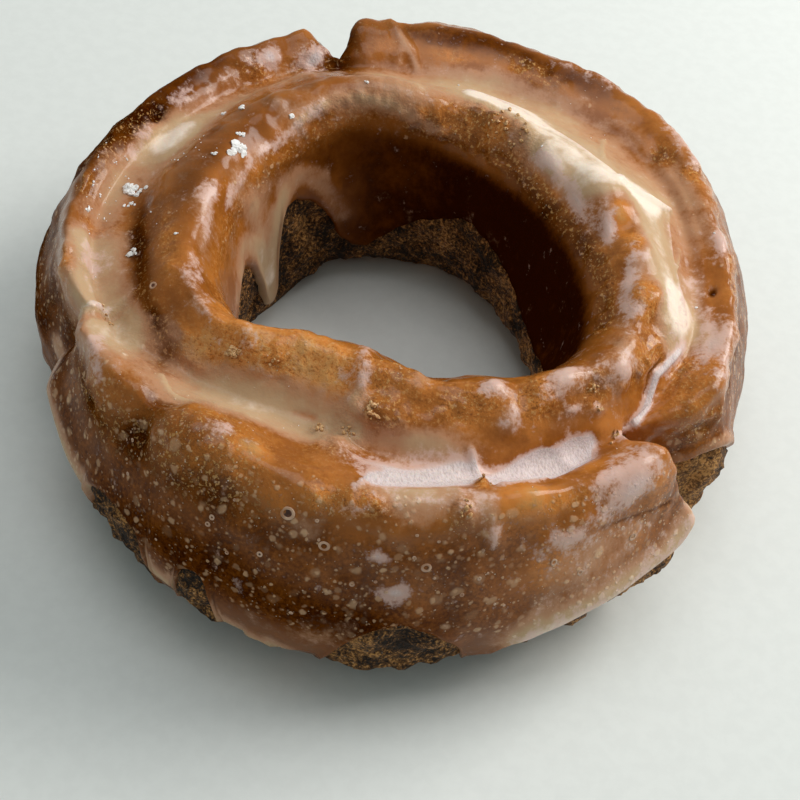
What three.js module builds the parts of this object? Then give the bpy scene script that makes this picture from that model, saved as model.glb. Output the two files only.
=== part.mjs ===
// An old-fashioned ring doughnut, lying flat side down. Millimetres, +Z up, origin under the middle
// of the ring on the table.
//
// The dough opens while it fries: a raised inner ridge stands round the hole, a crease follows it,
// and outside the crease three petals curl up and away. The petals are parted by three splits.
// The body is one solid: a lathe grid whose every column takes the section of its own heading.

import * as THREE from 'three';
import { mergeVertices } from 'three/addons/utils/BufferGeometryUtils.js';

// Heights shared by every section.
const WAIST_HEIGHT = 12.0;
const LIP_DROP = 3.6;
const RIM_HEIGHT = 13.5;
const UNDERCUT_HEIGHT = 4.0;
const BELLY_HEIGHT = 5.0;

// Widths shared by every section.
const BELLY_TUCK = 2.2;
const FOOT_TUCK = 7.0;
const SHOULDER_TUCK = 2.4;
const SHOULDER_DROP = 5.5;

// Sizes that change round the ring, at headings 0, 15, 30 ... 345 degrees from +X towards +Y.
const RING = {
  innerFoot: [
    23.0, 22.3, 22.0, 22.4, 22.8, 23.2, 23.3, 23.4, 23.2, 21.0, 20.2, 21.2,
    22.2, 22.7, 23.0, 23.0, 23.0, 22.9, 23.0, 23.4, 24.0, 24.7, 25.0, 24.1,
  ],
  waist: [
    17.5, 16.5, 16.0, 16.0, 16.5, 17.5, 18.5, 19.1, 19.5, 19.6, 19.5, 19.5,
    19.8, 20.5, 21.4, 20.4, 17.4, 16.2, 16.3, 17.4, 18.5, 20.2, 21.0, 19.5,
  ],
  lip: [
    20.5, 18.9, 17.8, 17.1, 17.1, 17.8, 18.9, 20.1, 21.1, 21.1, 20.8, 21.3,
    21.8, 22.8, 24.2, 24.1, 19.4, 17.2, 17.7, 19.4, 21.2, 23.8, 24.9, 22.9,
  ],
  ridge: [
    26.0, 24.6, 23.4, 22.3, 21.2, 21.2, 21.9, 23.3, 25.0, 25.3, 25.0, 25.2,
    25.5, 26.4, 27.8, 27.6, 23.6, 22.3, 22.6, 24.6, 26.3, 28.2, 29.2, 27.8,
  ],
  ridgeTop: [
    31.0, 31.0, 30.9, 30.6, 30.1, 29.7, 29.9, 30.3, 30.7, 30.7, 30.5, 30.5,
    30.5, 30.3, 30.0, 29.7, 29.5, 29.4, 29.5, 29.7, 30.0, 30.2, 30.5, 30.8,
  ],
  crease: [
    34.2, 34.0, 34.6, 34.4, 33.0, 31.9, 31.0, 32.6, 34.4, 34.3, 34.3, 35.3,
    36.4, 37.2, 36.8, 33.8, 31.0, 30.2, 31.3, 32.9, 34.3, 34.6, 34.6, 34.9,
  ],
  creaseTop: [
    25.8, 25.8, 26.0, 26.0, 25.8, 25.8, 26.0, 25.6, 25.2, 25.1, 25.0, 25.0,
    25.0, 25.0, 25.0, 24.8, 24.4, 24.6, 25.0, 25.2, 25.0, 24.8, 24.8, 25.2,
  ],
  petal: [
    39.2, 39.2, 40.1, 41.6, 41.3, 40.7, 40.6, 40.3, 39.8, 39.5, 39.4, 39.6,
    40.0, 40.9, 41.4, 41.0, 40.5, 40.4, 40.5, 40.5, 40.5, 40.9, 41.0, 40.0,
  ],
  petalTop: [
    26.8, 26.8, 27.1, 27.7, 27.9, 28.2, 28.3, 28.2, 27.9, 27.8, 27.7, 27.7,
    27.7, 27.6, 27.5, 28.0, 28.5, 28.8, 29.0, 28.9, 28.5, 28.0, 27.4, 27.0,
  ],
  rim: [
    44.0, 45.6, 46.9, 48.4, 48.4, 48.0, 47.6, 46.6, 45.4, 44.8, 44.6, 45.0,
    45.6, 45.0, 44.4, 45.4, 47.0, 47.4, 47.4, 46.7, 46.0, 45.9, 45.4, 44.0,
  ],
};

// The splits between the petals: heading on the split circle, lean in degrees for each millimetre
// outwards, reach in degrees towards lower and higher headings, and how deep the rim and the petal
// tops fall into them.
const SPLIT_CIRCLE = 42;
const SPLITS = [
  { heading: 110.2, lean: -1.2, before: 4.5, after: 7.0, rimFall: 5.0, topFall: 5.0 },
  { heading: 208.5, lean: -1.6, before: 12.0, after: 5.0, rimFall: 2.0, topFall: 0.8 },
  { heading: 323.6, lean: 1.2, before: 3.2, after: 15.0, rimFall: 7.0, topFall: 6.5 },
];
const SPLIT_SHARPNESS = 1.3;

// How fine the grid is.
const COLUMNS = 132;
const SECTION_ROWS = 32;
const BASE_ROWS = 3;
const SPLIT_CROWDING = 1.6;

const CRUST_COLOUR = 0x8a5230;

// The value of one ring size at a heading, smoothly between its stations.
function around(values, heading) {
  const place = THREE.MathUtils.euclideanModulo(heading / 360, 1) * values.length;
  const first = Math.floor(place);
  const at = (k) => values[(first + k + values.length) % values.length];
  const f = place - first;
  const slopeIn = (at(1) - at(-1)) / 2;
  const slopeOut = (at(2) - at(0)) / 2;
  const f2 = f * f;
  const f3 = f2 * f;
  return (2 * f3 - 3 * f2 + 1) * at(0) + (f3 - 2 * f2 + f) * slopeIn
    + (3 * f2 - 2 * f3) * at(1) + (f3 - f2) * slopeOut;
}

// The shortest turn from one heading to another, in degrees.
function turn(from, to) {
  return THREE.MathUtils.euclideanModulo(to - from + 180, 360) - 180;
}

// The section at a heading: x is the radius, y is the height. It starts at the inner foot, climbs the
// wall of the hole, crosses the ridge, the crease and the petal, and comes down to the outer foot.
function section(heading) {
  const s = {};
  for (const [name, values] of Object.entries(RING)) {
    s[name] = around(values, heading);
  }
  const point = (radius, height) => new THREE.Vector3(radius, height, 0);
  return new THREE.CatmullRomCurve3([
    point(s.innerFoot, 0),
    point(0.6 * s.waist + 0.4 * s.innerFoot - 0.6, UNDERCUT_HEIGHT),
    point(s.waist, WAIST_HEIGHT),
    point(0.35 * s.waist + 0.65 * s.lip - 0.3, WAIST_HEIGHT + 10),
    point(s.lip + 0.3, s.ridgeTop - LIP_DROP),
    point(s.ridge, s.ridgeTop),
    point((s.ridge + s.crease) / 2, (s.ridgeTop + s.creaseTop) / 2 + 0.6),
    point(s.crease, s.creaseTop),
    point(0.55 * s.crease + 0.45 * s.petal, 0.38 * s.creaseTop + 0.62 * s.petalTop),
    point(s.petal, s.petalTop),
    point(s.rim - SHOULDER_TUCK, s.petalTop - SHOULDER_DROP),
    point(s.rim, RIM_HEIGHT),
    point(s.rim - BELLY_TUCK, BELLY_HEIGHT),
    point(s.rim - FOOT_TUCK, 0),
  ], false, 'catmullrom', 0.5);
}

// The headings of the columns, closer together at the splits.
function columnHeadings() {
  const steps = 720;
  const total = [0];
  for (let i = 0; i < steps; i += 1) {
    const heading = (i * 360) / steps;
    let density = 1;
    for (const split of SPLITS) {
      density += SPLIT_CROWDING * Math.exp(-((turn(heading, split.heading) / 8) ** 2));
    }
    total.push(total[i] + density);
  }
  const headings = [];
  let i = 0;
  for (let column = 0; column <= COLUMNS; column += 1) {
    const goal = (total[steps] * column) / COLUMNS;
    while (i < steps - 1 && total[i + 1] < goal) {
      i += 1;
    }
    headings.push(((i + (goal - total[i]) / (total[i + 1] - total[i])) * 360) / steps);
  }
  return headings;
}

// Lets a point of the grid fall into the splits near it, and leans it with them.
function parted(heading, radius, height) {
  const outside = THREE.MathUtils.smoothstep(radius, 33, 42);
  const raised = THREE.MathUtils.smoothstep(height, 0, 9);
  const high = THREE.MathUtils.smoothstep(height, 15, 25);
  const placed = { heading, radius, height };
  for (const split of SPLITS) {
    const away = turn(split.heading, heading);
    const reach = away < 0 ? split.before : split.after;
    const depth = Math.max(0, 1 - Math.abs(away) / reach) ** SPLIT_SHARPNESS;
    placed.radius -= split.rimFall * depth * outside * raised;
    placed.height -= split.topFall * depth * outside * high;
    const follow = Math.exp(-((away / 14) ** 2)) * outside * raised;
    placed.heading += split.lean * follow * (Math.min(radius, 46) - SPLIT_CIRCLE);
  }
  return placed;
}

// The whole ring: a lathe grid, each row of which runs round the hole, outer foot first.
function doughnutGeometry() {
  const rows = SECTION_ROWS + BASE_ROWS;
  const profile = [];
  for (let row = 0; row <= rows; row += 1) {
    profile.push(new THREE.Vector2(30, 0));
  }
  const geometry = new THREE.LatheGeometry(profile, COLUMNS);
  const position = geometry.getAttribute('position');
  const headings = columnHeadings();
  for (let column = 0; column <= COLUMNS; column += 1) {
    const heading = headings[column % COLUMNS];
    const curve = section(heading);
    const foot = curve.getPoint(0);
    const outerFoot = curve.getPoint(1);
    for (let row = 0; row <= rows; row += 1) {
      const p = row <= SECTION_ROWS
        ? curve.getPoint(row / SECTION_ROWS)
        : outerFoot.clone().lerp(foot, (row - SECTION_ROWS) / BASE_ROWS);
      const q = parted(heading, p.x, Math.max(0, p.y));
      const angle = THREE.MathUtils.degToRad(q.heading);
      const x = q.radius * Math.cos(angle);
      const y = q.radius * Math.sin(angle);
      position.setXYZ(column * (rows + 1) + rows - row, x, y, q.height);
    }
  }
  geometry.deleteAttribute('normal');
  geometry.deleteAttribute('uv');
  const closed = mergeVertices(geometry, 1e-4);
  closed.computeBoundingBox();
  const middle = closed.boundingBox.getCenter(new THREE.Vector3());
  closed.translate(-middle.x, -middle.y, -closed.boundingBox.min.z);
  closed.computeVertexNormals();
  return closed;
}

const crust = new THREE.MeshStandardMaterial({
  color: CRUST_COLOUR,
  roughness: 0.6,
  metalness: 0,
});
const doughnut = new THREE.Mesh(doughnutGeometry(), crust);
doughnut.name = 'doughnut';

const model = new THREE.Group();
model.add(doughnut);

export default model;
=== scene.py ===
"""A glazed old-fashioned ring doughnut: craggy crust, set glaze, dried flakes and caught crumbs.

The doughnut is worked out as a ring of sections. A place on it is a heading round the ring, in degrees
from +X towards +Y, and a station along the section: 0 is the inner foot, 2 the waist of the hole, 5 the
inner ridge, 7 the crease, 9 the petal, 11 the rim and 13 the outer foot. Sizes inside the ring are
millimetres; the finished meshes are in metres, in the frame of the part.
"""

from __future__ import annotations

import logging
import math
from dataclasses import dataclass, field
from enum import Enum
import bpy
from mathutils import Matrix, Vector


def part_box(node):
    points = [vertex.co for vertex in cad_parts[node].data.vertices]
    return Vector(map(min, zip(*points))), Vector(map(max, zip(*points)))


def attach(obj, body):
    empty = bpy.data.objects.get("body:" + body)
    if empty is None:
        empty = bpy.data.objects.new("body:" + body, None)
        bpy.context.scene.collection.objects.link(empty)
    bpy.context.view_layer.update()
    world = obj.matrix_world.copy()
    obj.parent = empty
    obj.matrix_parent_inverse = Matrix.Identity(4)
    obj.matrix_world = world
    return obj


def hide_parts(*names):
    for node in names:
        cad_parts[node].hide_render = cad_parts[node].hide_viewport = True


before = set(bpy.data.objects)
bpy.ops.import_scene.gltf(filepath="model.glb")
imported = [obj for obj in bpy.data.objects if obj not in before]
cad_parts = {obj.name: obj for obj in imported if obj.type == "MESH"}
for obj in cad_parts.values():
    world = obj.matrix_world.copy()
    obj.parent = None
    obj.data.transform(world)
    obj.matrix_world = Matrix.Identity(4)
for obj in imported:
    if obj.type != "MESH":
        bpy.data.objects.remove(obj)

from types import SimpleNamespace
from typing import Sequence

import bmesh
import bpy
import numpy as np
from mathutils import Matrix, Vector

LOG = logging.getLogger("doughnut")
MM = 0.001
NODE = "doughnut"
LAST_STATION = 13.0
RING_SIZES = (
    "inner_foot", "waist", "lip", "ridge", "ridge_top", "crease", "crease_top", "petal", "petal_top", "rim",
)
WELD = 1e-8

# A mark reaches at least so many millimetres in from the surface, and a line has so many straight
# steps between two places of its path.
LEAST_DEPTH = 4.0
STEPS_BETWEEN = 5

Place = tuple[float, float]


# Small tools


def smoothstep(value: np.ndarray, low: float, high: float) -> np.ndarray:
    """Rises smoothly from 0 at low to 1 at high.

    Args:
        value: the numbers to map.
        low: where the rise starts.
        high: where it ends.

    Returns:
        The mapped numbers, from 0 to 1.
    """
    t = np.clip((value - low) / (high - low), 0.0, 1.0)
    return t * t * (3.0 - 2.0 * t)


def band(value: np.ndarray, low: float, full: float, fading: float, high: float) -> np.ndarray:
    """Rises smoothly from 0 at low to 1 at full, and falls again from fading to high."""
    return smoothstep(value, low, full) * (1.0 - smoothstep(value, fading, high))


def turn(start: np.ndarray | float, end: np.ndarray | float) -> np.ndarray | float:
    """The shortest turn between two headings.

    Args:
        start: heading in degrees.
        end: heading in degrees.

    Returns:
        The turn from start to end, from -180 to 180 degrees.
    """
    return (end - start + 180.0) % 360.0 - 180.0


def unit(vectors: np.ndarray) -> np.ndarray:
    """Vectors of length one, in the same directions."""
    return vectors / (np.linalg.norm(vectors, axis=-1, keepdims=True) + 1e-12)


def hill(away: np.ndarray, reach: float) -> np.ndarray:
    """A soft hill: 1 in its middle, about 0.4 a reach away from it and soon 0."""
    return np.exp(-((away / reach) ** 2))


def headings_and_stations(places: Sequence[Place]) -> tuple[np.ndarray, np.ndarray]:
    """The headings of some places, and their stations."""
    headings, stations = np.array(places, dtype=float).T
    return headings, stations


class Grain:
    """Smooth three-dimensional noise that is the same on every run.

    gain brings it to about -1 to 1, and shift keeps the numbers of its cells above 0.
    """

    gain: float = 1.7
    shift: float = 100.0

    def __init__(self, seed: int, side: int = 32) -> None:
        """Fills a lattice of random slopes.

        Args:
            seed: which noise this is.
            side: how many cells before it repeats.
        """
        self.side = side
        self.slopes = unit(np.random.default_rng(seed).normal(size=(side, side, side, 3)))

    def at(self, points: np.ndarray, size: float) -> np.ndarray:
        """The noise at some points.

        Args:
            points: positions in millimetres, last axis xyz.
            size: width of one cell in millimetres.

        Returns:
            Numbers from about -1 to 1.
        """
        place = points / size + self.shift
        cell = np.floor(place).astype(int)
        part = place - cell
        fade = part * part * part * (part * (part * 6.0 - 15.0) + 10.0)
        total = np.zeros(points.shape[:-1])
        for corner in np.ndindex(2, 2, 2):
            step = np.array(corner)
            index = (cell + step) % self.side
            slope = self.slopes[index[..., 0], index[..., 1], index[..., 2]]
            weight = np.prod(np.where(step == 1, fade, 1.0 - fade), axis=-1)
            total += weight * np.sum(slope * (part - step), axis=-1)
        return total * self.gain


# The form of the ring


@dataclass(frozen=True)
class Split:
    """One of the splits that part the petals.

    heading: where it is on the split circle, in degrees.
    lean: how far it leans for each millimetre outwards, in degrees.
    before: how far it reaches towards lower headings, in degrees.
    after: how far it reaches towards higher headings, in degrees.
    rim_fall: how far the rim falls in, in millimetres.
    top_fall: how far the petal tops fall, in millimetres.
    """

    heading: float
    lean: float
    before: float
    after: float
    rim_fall: float
    top_fall: float


@dataclass
class RingForm:
    """The smooth form under the relief: one section for every heading, and the splits.

    The sizes are those of the solid that it covers. Their rows stand at headings 0, 15, 30 ... 345
    degrees, in millimetres. split_radii, rim_fall_heights and top_fall_heights each say where the
    splits or their falls start and where they are full.
    """

    inner_foot: Sequence[float] = (
        23.0, 22.3, 22.0, 22.4, 22.8, 23.2, 23.3, 23.4, 23.2, 21.0, 20.2, 21.2,
        22.2, 22.7, 23.0, 23.0, 23.0, 22.9, 23.0, 23.4, 24.0, 24.7, 25.0, 24.1,
    )
    waist: Sequence[float] = (
        17.5, 16.5, 16.0, 16.0, 16.5, 17.5, 18.5, 19.1, 19.5, 19.6, 19.5, 19.5,
        19.8, 20.5, 21.4, 20.4, 17.4, 16.2, 16.3, 17.4, 18.5, 20.2, 21.0, 19.5,
    )
    lip: Sequence[float] = (
        20.5, 18.9, 17.8, 17.1, 17.1, 17.8, 18.9, 20.1, 21.1, 21.1, 20.8, 21.3,
        21.8, 22.8, 24.2, 24.1, 19.4, 17.2, 17.7, 19.4, 21.2, 23.8, 24.9, 22.9,
    )
    ridge: Sequence[float] = (
        26.0, 24.6, 23.4, 22.3, 21.2, 21.2, 21.9, 23.3, 25.0, 25.3, 25.0, 25.2,
        25.5, 26.4, 27.8, 27.6, 23.6, 22.3, 22.6, 24.6, 26.3, 28.2, 29.2, 27.8,
    )
    ridge_top: Sequence[float] = (
        31.0, 31.0, 30.9, 30.6, 30.1, 29.7, 29.9, 30.3, 30.7, 30.7, 30.5, 30.5,
        30.5, 30.3, 30.0, 29.7, 29.5, 29.4, 29.5, 29.7, 30.0, 30.2, 30.5, 30.8,
    )
    crease: Sequence[float] = (
        34.2, 34.0, 34.6, 34.4, 33.0, 31.9, 31.0, 32.6, 34.4, 34.3, 34.3, 35.3,
        36.4, 37.2, 36.8, 33.8, 31.0, 30.2, 31.3, 32.9, 34.3, 34.6, 34.6, 34.9,
    )
    crease_top: Sequence[float] = (
        25.8, 25.8, 26.0, 26.0, 25.8, 25.8, 26.0, 25.6, 25.2, 25.1, 25.0, 25.0,
        25.0, 25.0, 25.0, 24.8, 24.4, 24.6, 25.0, 25.2, 25.0, 24.8, 24.8, 25.2,
    )
    petal: Sequence[float] = (
        39.2, 39.2, 40.1, 41.6, 41.3, 40.7, 40.6, 40.3, 39.8, 39.5, 39.4, 39.6,
        40.0, 40.9, 41.4, 41.0, 40.5, 40.4, 40.5, 40.5, 40.5, 40.9, 41.0, 40.0,
    )
    petal_top: Sequence[float] = (
        26.8, 26.8, 27.1, 27.7, 27.9, 28.2, 28.3, 28.2, 27.9, 27.8, 27.7, 27.7,
        27.7, 27.6, 27.5, 28.0, 28.5, 28.8, 29.0, 28.9, 28.5, 28.0, 27.4, 27.0,
    )
    rim: Sequence[float] = (
        44.0, 45.6, 46.9, 48.4, 48.4, 48.0, 47.6, 46.6, 45.4, 44.8, 44.6, 45.0,
        45.6, 45.0, 44.4, 45.4, 47.0, 47.4, 47.4, 46.7, 46.0, 45.9, 45.4, 44.0,
    )

    waist_height: float = 12.0
    lip_drop: float = 3.6
    rim_height: float = 13.5
    undercut_height: float = 4.0
    belly_height: float = 5.0
    belly_tuck: float = 2.2
    foot_tuck: float = 7.0
    shoulder_tuck: float = 2.4
    shoulder_drop: float = 5.5

    split_circle: float = 42.0
    split_crowding: float = 1.6
    crowding_reach: float = 8.0
    split_sharpness: float = 1.3
    split_radii: tuple[float, float] = (33.0, 42.0)
    rim_fall_heights: tuple[float, float] = (0.0, 9.0)
    top_fall_heights: tuple[float, float] = (15.0, 25.0)
    lean_reach: float = 14.0
    lean_radius: float = 46.0
    splits: Sequence[Split] = (
        Split(heading=110.2, lean=-1.2, before=4.5, after=7.0, rim_fall=5.0, top_fall=5.0),
        Split(heading=208.5, lean=-1.6, before=12.0, after=5.0, rim_fall=2.0, top_fall=0.8),
        Split(heading=323.6, lean=1.2, before=3.2, after=15.0, rim_fall=7.0, top_fall=6.5),
    )

    centre: np.ndarray = field(init=False)
    scale: float = field(init=False)
    stations: np.ndarray = field(init=False)
    lengths: np.ndarray = field(init=False)

    def __post_init__(self) -> None:
        """Fits the ring to the solid in the frame, and measures its mean section."""
        self.stations = np.linspace(0.0, LAST_STATION, 40 * int(LAST_STATION) + 1)
        headings = np.arange(0.0, 360.0, 1.0)
        everywhere = np.tile(self.stations, (headings.size, 1))
        radius, height = self.section(headings, everywhere)
        steps = np.hypot(np.diff(radius, axis=1), np.diff(height, axis=1)).mean(axis=0)
        self.lengths = np.concatenate([[0.0], np.cumsum(steps)])
        outline = self.points(headings, everywhere).reshape(-1, 3)
        low, high = outline.min(axis=0), outline.max(axis=0)
        box_low, box_high = (np.array(corner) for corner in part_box(NODE))
        self.scale = float((box_high[0] - box_low[0]) / (high[0] - low[0]))
        middle = (low + high) / 2.0
        self.centre = (box_low + box_high) / 2.0 - middle * self.scale
        self.centre[2] = box_low[2]

    def around(self, values: Sequence[float], headings: np.ndarray) -> np.ndarray:
        """One ring size at some headings, smoothly between its stations.

        Args:
            values: the size at evenly spaced headings.
            headings: in degrees.

        Returns:
            The size at each heading.
        """
        row = np.asarray(values, dtype=float)
        place = (np.asarray(headings) % 360.0) / 360.0 * row.size
        first = np.floor(place).astype(int)
        f = place - first
        before, here, after, beyond = (row[(first + k) % row.size] for k in (-1, 0, 1, 2))
        return (
            (2 * f**3 - 3 * f**2 + 1) * here
            + (f**3 - 2 * f**2 + f) * (after - before) / 2
            + (3 * f**2 - 2 * f**3) * after
            + (f**3 - f**2) * (beyond - here) / 2
        )

    def section(self, headings: np.ndarray, stations: np.ndarray) -> tuple[np.ndarray, np.ndarray]:
        """The section curve at each heading.

        Args:
            headings: one per column, in degrees.
            stations: for each column, its rows' places along the section, from 0 to 13.

        Returns:
            Radius and height of every point, in millimetres.
        """
        s = SimpleNamespace(**{name: self.around(getattr(self, name), headings) for name in RING_SIZES})
        flat = np.zeros(headings.size)
        keys = [
            (s.inner_foot, flat),
            (0.6 * s.waist + 0.4 * s.inner_foot - 0.6, flat + self.undercut_height),
            (s.waist, flat + self.waist_height),
            (0.35 * s.waist + 0.65 * s.lip - 0.3, flat + self.waist_height + 10.0),
            (s.lip + 0.3, s.ridge_top - self.lip_drop),
            (s.ridge, s.ridge_top),
            ((s.ridge + s.crease) / 2, (s.ridge_top + s.crease_top) / 2 + 0.6),
            (s.crease, s.crease_top),
            (0.55 * s.crease + 0.45 * s.petal, 0.38 * s.crease_top + 0.62 * s.petal_top),
            (s.petal, s.petal_top),
            (s.rim - self.shoulder_tuck, s.petal_top - self.shoulder_drop),
            (s.rim, flat + self.rim_height),
            (s.rim - self.belly_tuck, flat + self.belly_height),
            (s.rim - self.foot_tuck, flat),
        ]
        radius = self._curve(np.stack([key[0] for key in keys], axis=1), stations)
        height = self._curve(np.stack([key[1] for key in keys], axis=1), stations)
        return radius, np.maximum(height, 0.0)

    @staticmethod
    def _curve(keys: np.ndarray, stations: np.ndarray) -> np.ndarray:
        """A smooth curve through the keys of each column.

        Args:
            keys: one row of key values for each column.
            stations: where to read it, from 0 to the last key.

        Returns:
            The values at the stations.
        """
        last = keys.shape[1] - 1
        first = np.clip(np.floor(stations).astype(int), 0, last - 1)
        f = stations - first
        before_start = 2 * keys[:, :1] - keys[:, 1:2]
        after_end = 2 * keys[:, -1:] - keys[:, -2:-1]
        padded = np.concatenate([before_start, keys, after_end], axis=1)
        a, b, c, d = (np.take_along_axis(padded, first + k, axis=1) for k in range(4))
        bend, twist = 2 * a - 5 * b + 4 * c - d, 3 * b - a - 3 * c + d
        return 0.5 * (2 * b + (c - a) * f + bend * f**2 + twist * f**3)

    def points(self, headings: np.ndarray, stations: np.ndarray) -> np.ndarray:
        """Points of the smooth form, with the splits in it.

        Args:
            headings: one per column, in degrees.
            stations: for each column, its rows' places along the section.

        Returns:
            Positions in millimetres about the ring's own centre, one row of points per column.
        """
        radius, height = self.section(headings, stations)
        heading = np.repeat(headings[:, None], stations.shape[1], axis=1)
        outside = smoothstep(radius, *self.split_radii)
        raised = smoothstep(height, *self.rim_fall_heights)
        high = smoothstep(height, *self.top_fall_heights)
        new_radius, new_height, new_heading = radius.copy(), height.copy(), heading.copy()
        for split in self.splits:
            away = turn(split.heading, heading)
            reach = np.where(away < 0.0, split.before, split.after)
            depth = np.maximum(0.0, 1.0 - np.abs(away) / reach) ** self.split_sharpness
            new_radius -= split.rim_fall * depth * outside * raised
            new_height -= split.top_fall * depth * outside * high
            follow = hill(away, self.lean_reach) * outside * raised
            new_heading += split.lean * follow * (np.minimum(radius, self.lean_radius) - self.split_circle)
        angle = np.radians(new_heading)
        return np.stack([new_radius * np.cos(angle), new_radius * np.sin(angle), new_height], axis=-1)

    def column_headings(self, count: int) -> np.ndarray:
        """Headings of the columns, closer together at the splits.

        Args:
            count: how many columns.

        Returns:
            The headings, in degrees.
        """
        fine = np.linspace(0.0, 360.0, 2881)
        density = np.ones_like(fine)
        for split in self.splits:
            density += self.split_crowding * hill(turn(fine, split.heading), self.crowding_reach)
        total = np.concatenate([[0.0], np.cumsum((density[1:] + density[:-1]) / 2)])
        return np.interp(np.arange(count) / count * total[-1], total, fine)

    def length_at(self, station: np.ndarray | float) -> np.ndarray | float:
        """Millimetres along the mean section up to a station."""
        return np.interp(station, self.stations, self.lengths)

    def station_at(self, length: np.ndarray) -> np.ndarray:
        """The station so many millimetres along the mean section."""
        return np.interp(length, self.lengths, self.stations)

    def place(self, points: np.ndarray) -> np.ndarray:
        """Points of the ring, in millimetres, put into the frame in metres."""
        return points * self.scale + self.centre


@dataclass
class Patch:
    """A part of the ring's surface as a grid: its points and the directions there.

    headings and stations say where each point is; along runs round the ring, across runs with the
    section and out stands off the surface.
    """

    headings: np.ndarray
    stations: np.ndarray
    points: np.ndarray
    along: np.ndarray
    across: np.ndarray
    out: np.ndarray

    @classmethod
    def of(cls, form: RingForm, headings: np.ndarray, stations: np.ndarray) -> Patch:
        """Reads the smooth form at some places.

        Args:
            form: the ring.
            headings: one per column, in degrees.
            stations: for each column, its rows' places along the section.

        Returns:
            The grid.
        """
        points = form.points(headings, stations)
        ahead, behind = (form.points(headings + step, stations) for step in (0.6, -0.6))
        above, below = (form.points(headings, stations + step) for step in (0.08, -0.08))
        along, across = unit(ahead - behind), unit(above - below)
        return cls(headings, stations, points, along, across, unit(np.cross(across, along)))


# Relief and stains


class Layer(Enum):
    """What a mark changes on the glaze, apart from its height."""

    FILM = "film"
    GLOW = "glow"
    DUSK = "dusk"
    GRIT = "grit"
    FROST = "frost_and_highlight"
    DOTS = "dots"


@dataclass(frozen=True, kw_only=True)
class Change:
    """What a feature changes where it covers the surface.

    lift: how far it stands out, in millimetres.
    film: how much paler and thicker the glaze is.
    glow: how much of the orange crumb shows.
    dusk: how dark it is: the dough's own frying, and in places painted shade.
    grit: how crumbly it is.
    frost_and_highlight: how white and matt it is; a little of it on a crest paints a pinkish highlight.
    dots: how many more bubbles it holds.
    """

    lift: float = 0.0
    film: float = 0.0
    glow: float = 0.0
    dusk: float = 0.0
    grit: float = 0.0
    frost_and_highlight: float = 0.0
    dots: float = 0.0


@dataclass(frozen=True)
class Mark(Change):
    """A soft oval swell, dent or stain.

    at: heading and station of its middle.
    size: its reach round the ring and with the section, in millimetres.
    """

    at: Place
    size: tuple[float, float]

    def cover(self, form: RingForm, patch: Patch) -> np.ndarray:
        """Works out where the mark is.

        Args:
            form: the ring it is on.
            patch: a grid over the ring.

        Returns:
            How much of it there is at each point of the grid, from 0 to 1.
        """
        spot = Patch.of(form, np.array([float(self.at[0])]), np.array([[float(self.at[1])]]))
        away = patch.points - spot.points[0, 0]
        u = away @ spot.along[0, 0] / self.size[0]
        v = away @ spot.across[0, 0] / self.size[1]
        w = away @ spot.out[0, 0] / max(LEAST_DEPTH, *self.size)
        return np.exp(-(u * u + v * v + w * w))


@dataclass(frozen=True)
class Line(Change):
    """A soft band along a path over the surface: a crack, a wrinkle or a filled hollow.

    path: headings and stations it runs through.
    width: its half width in millimetres.
    edge: how firm its edge is, 0 a hill and 1 a flat band with a short edge.
    """

    path: Sequence[Place]
    width: float
    edge: float = 0.0

    def cover(self, form: RingForm, patch: Patch) -> np.ndarray:
        """Works out where the band is.

        Args:
            form: the ring it is on.
            patch: a grid over the ring.

        Returns:
            How much of it there is at each point of the grid, from 0 to 1.
        """
        headings, stations = headings_and_stations(self.path)
        fine = np.linspace(0.0, headings.size - 1.0, (headings.size - 1) * STEPS_BETWEEN + 1)
        knots = np.arange(headings.size)
        heading = np.interp(fine, knots, np.unwrap(headings, period=360.0))
        station = np.interp(fine, knots, stations)
        beads = form.points(heading, station[:, None])[:, 0]
        nearest = np.full(patch.points.shape[:-1], np.inf)
        reach = self.width * 3.0 + 2.0
        low, high = beads.min(axis=0) - reach, beads.max(axis=0) + reach
        near = np.all((patch.points > low) & (patch.points < high), axis=-1)
        some = patch.points[near]
        best = np.full(some.shape[0], np.inf)
        for start, end in zip(beads[:-1], beads[1:]):
            run = end - start
            t = np.clip((some - start) @ run / max(run @ run, 1e-9), 0.0, 1.0)
            best = np.minimum(best, np.linalg.norm(some - start - t[:, None] * run, axis=1))
        nearest[near] = best
        flat = 1.0 - smoothstep(nearest, self.width * 0.75, self.width * 1.25)
        return hill(nearest, self.width) * (1.0 - self.edge) + flat * self.edge


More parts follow.
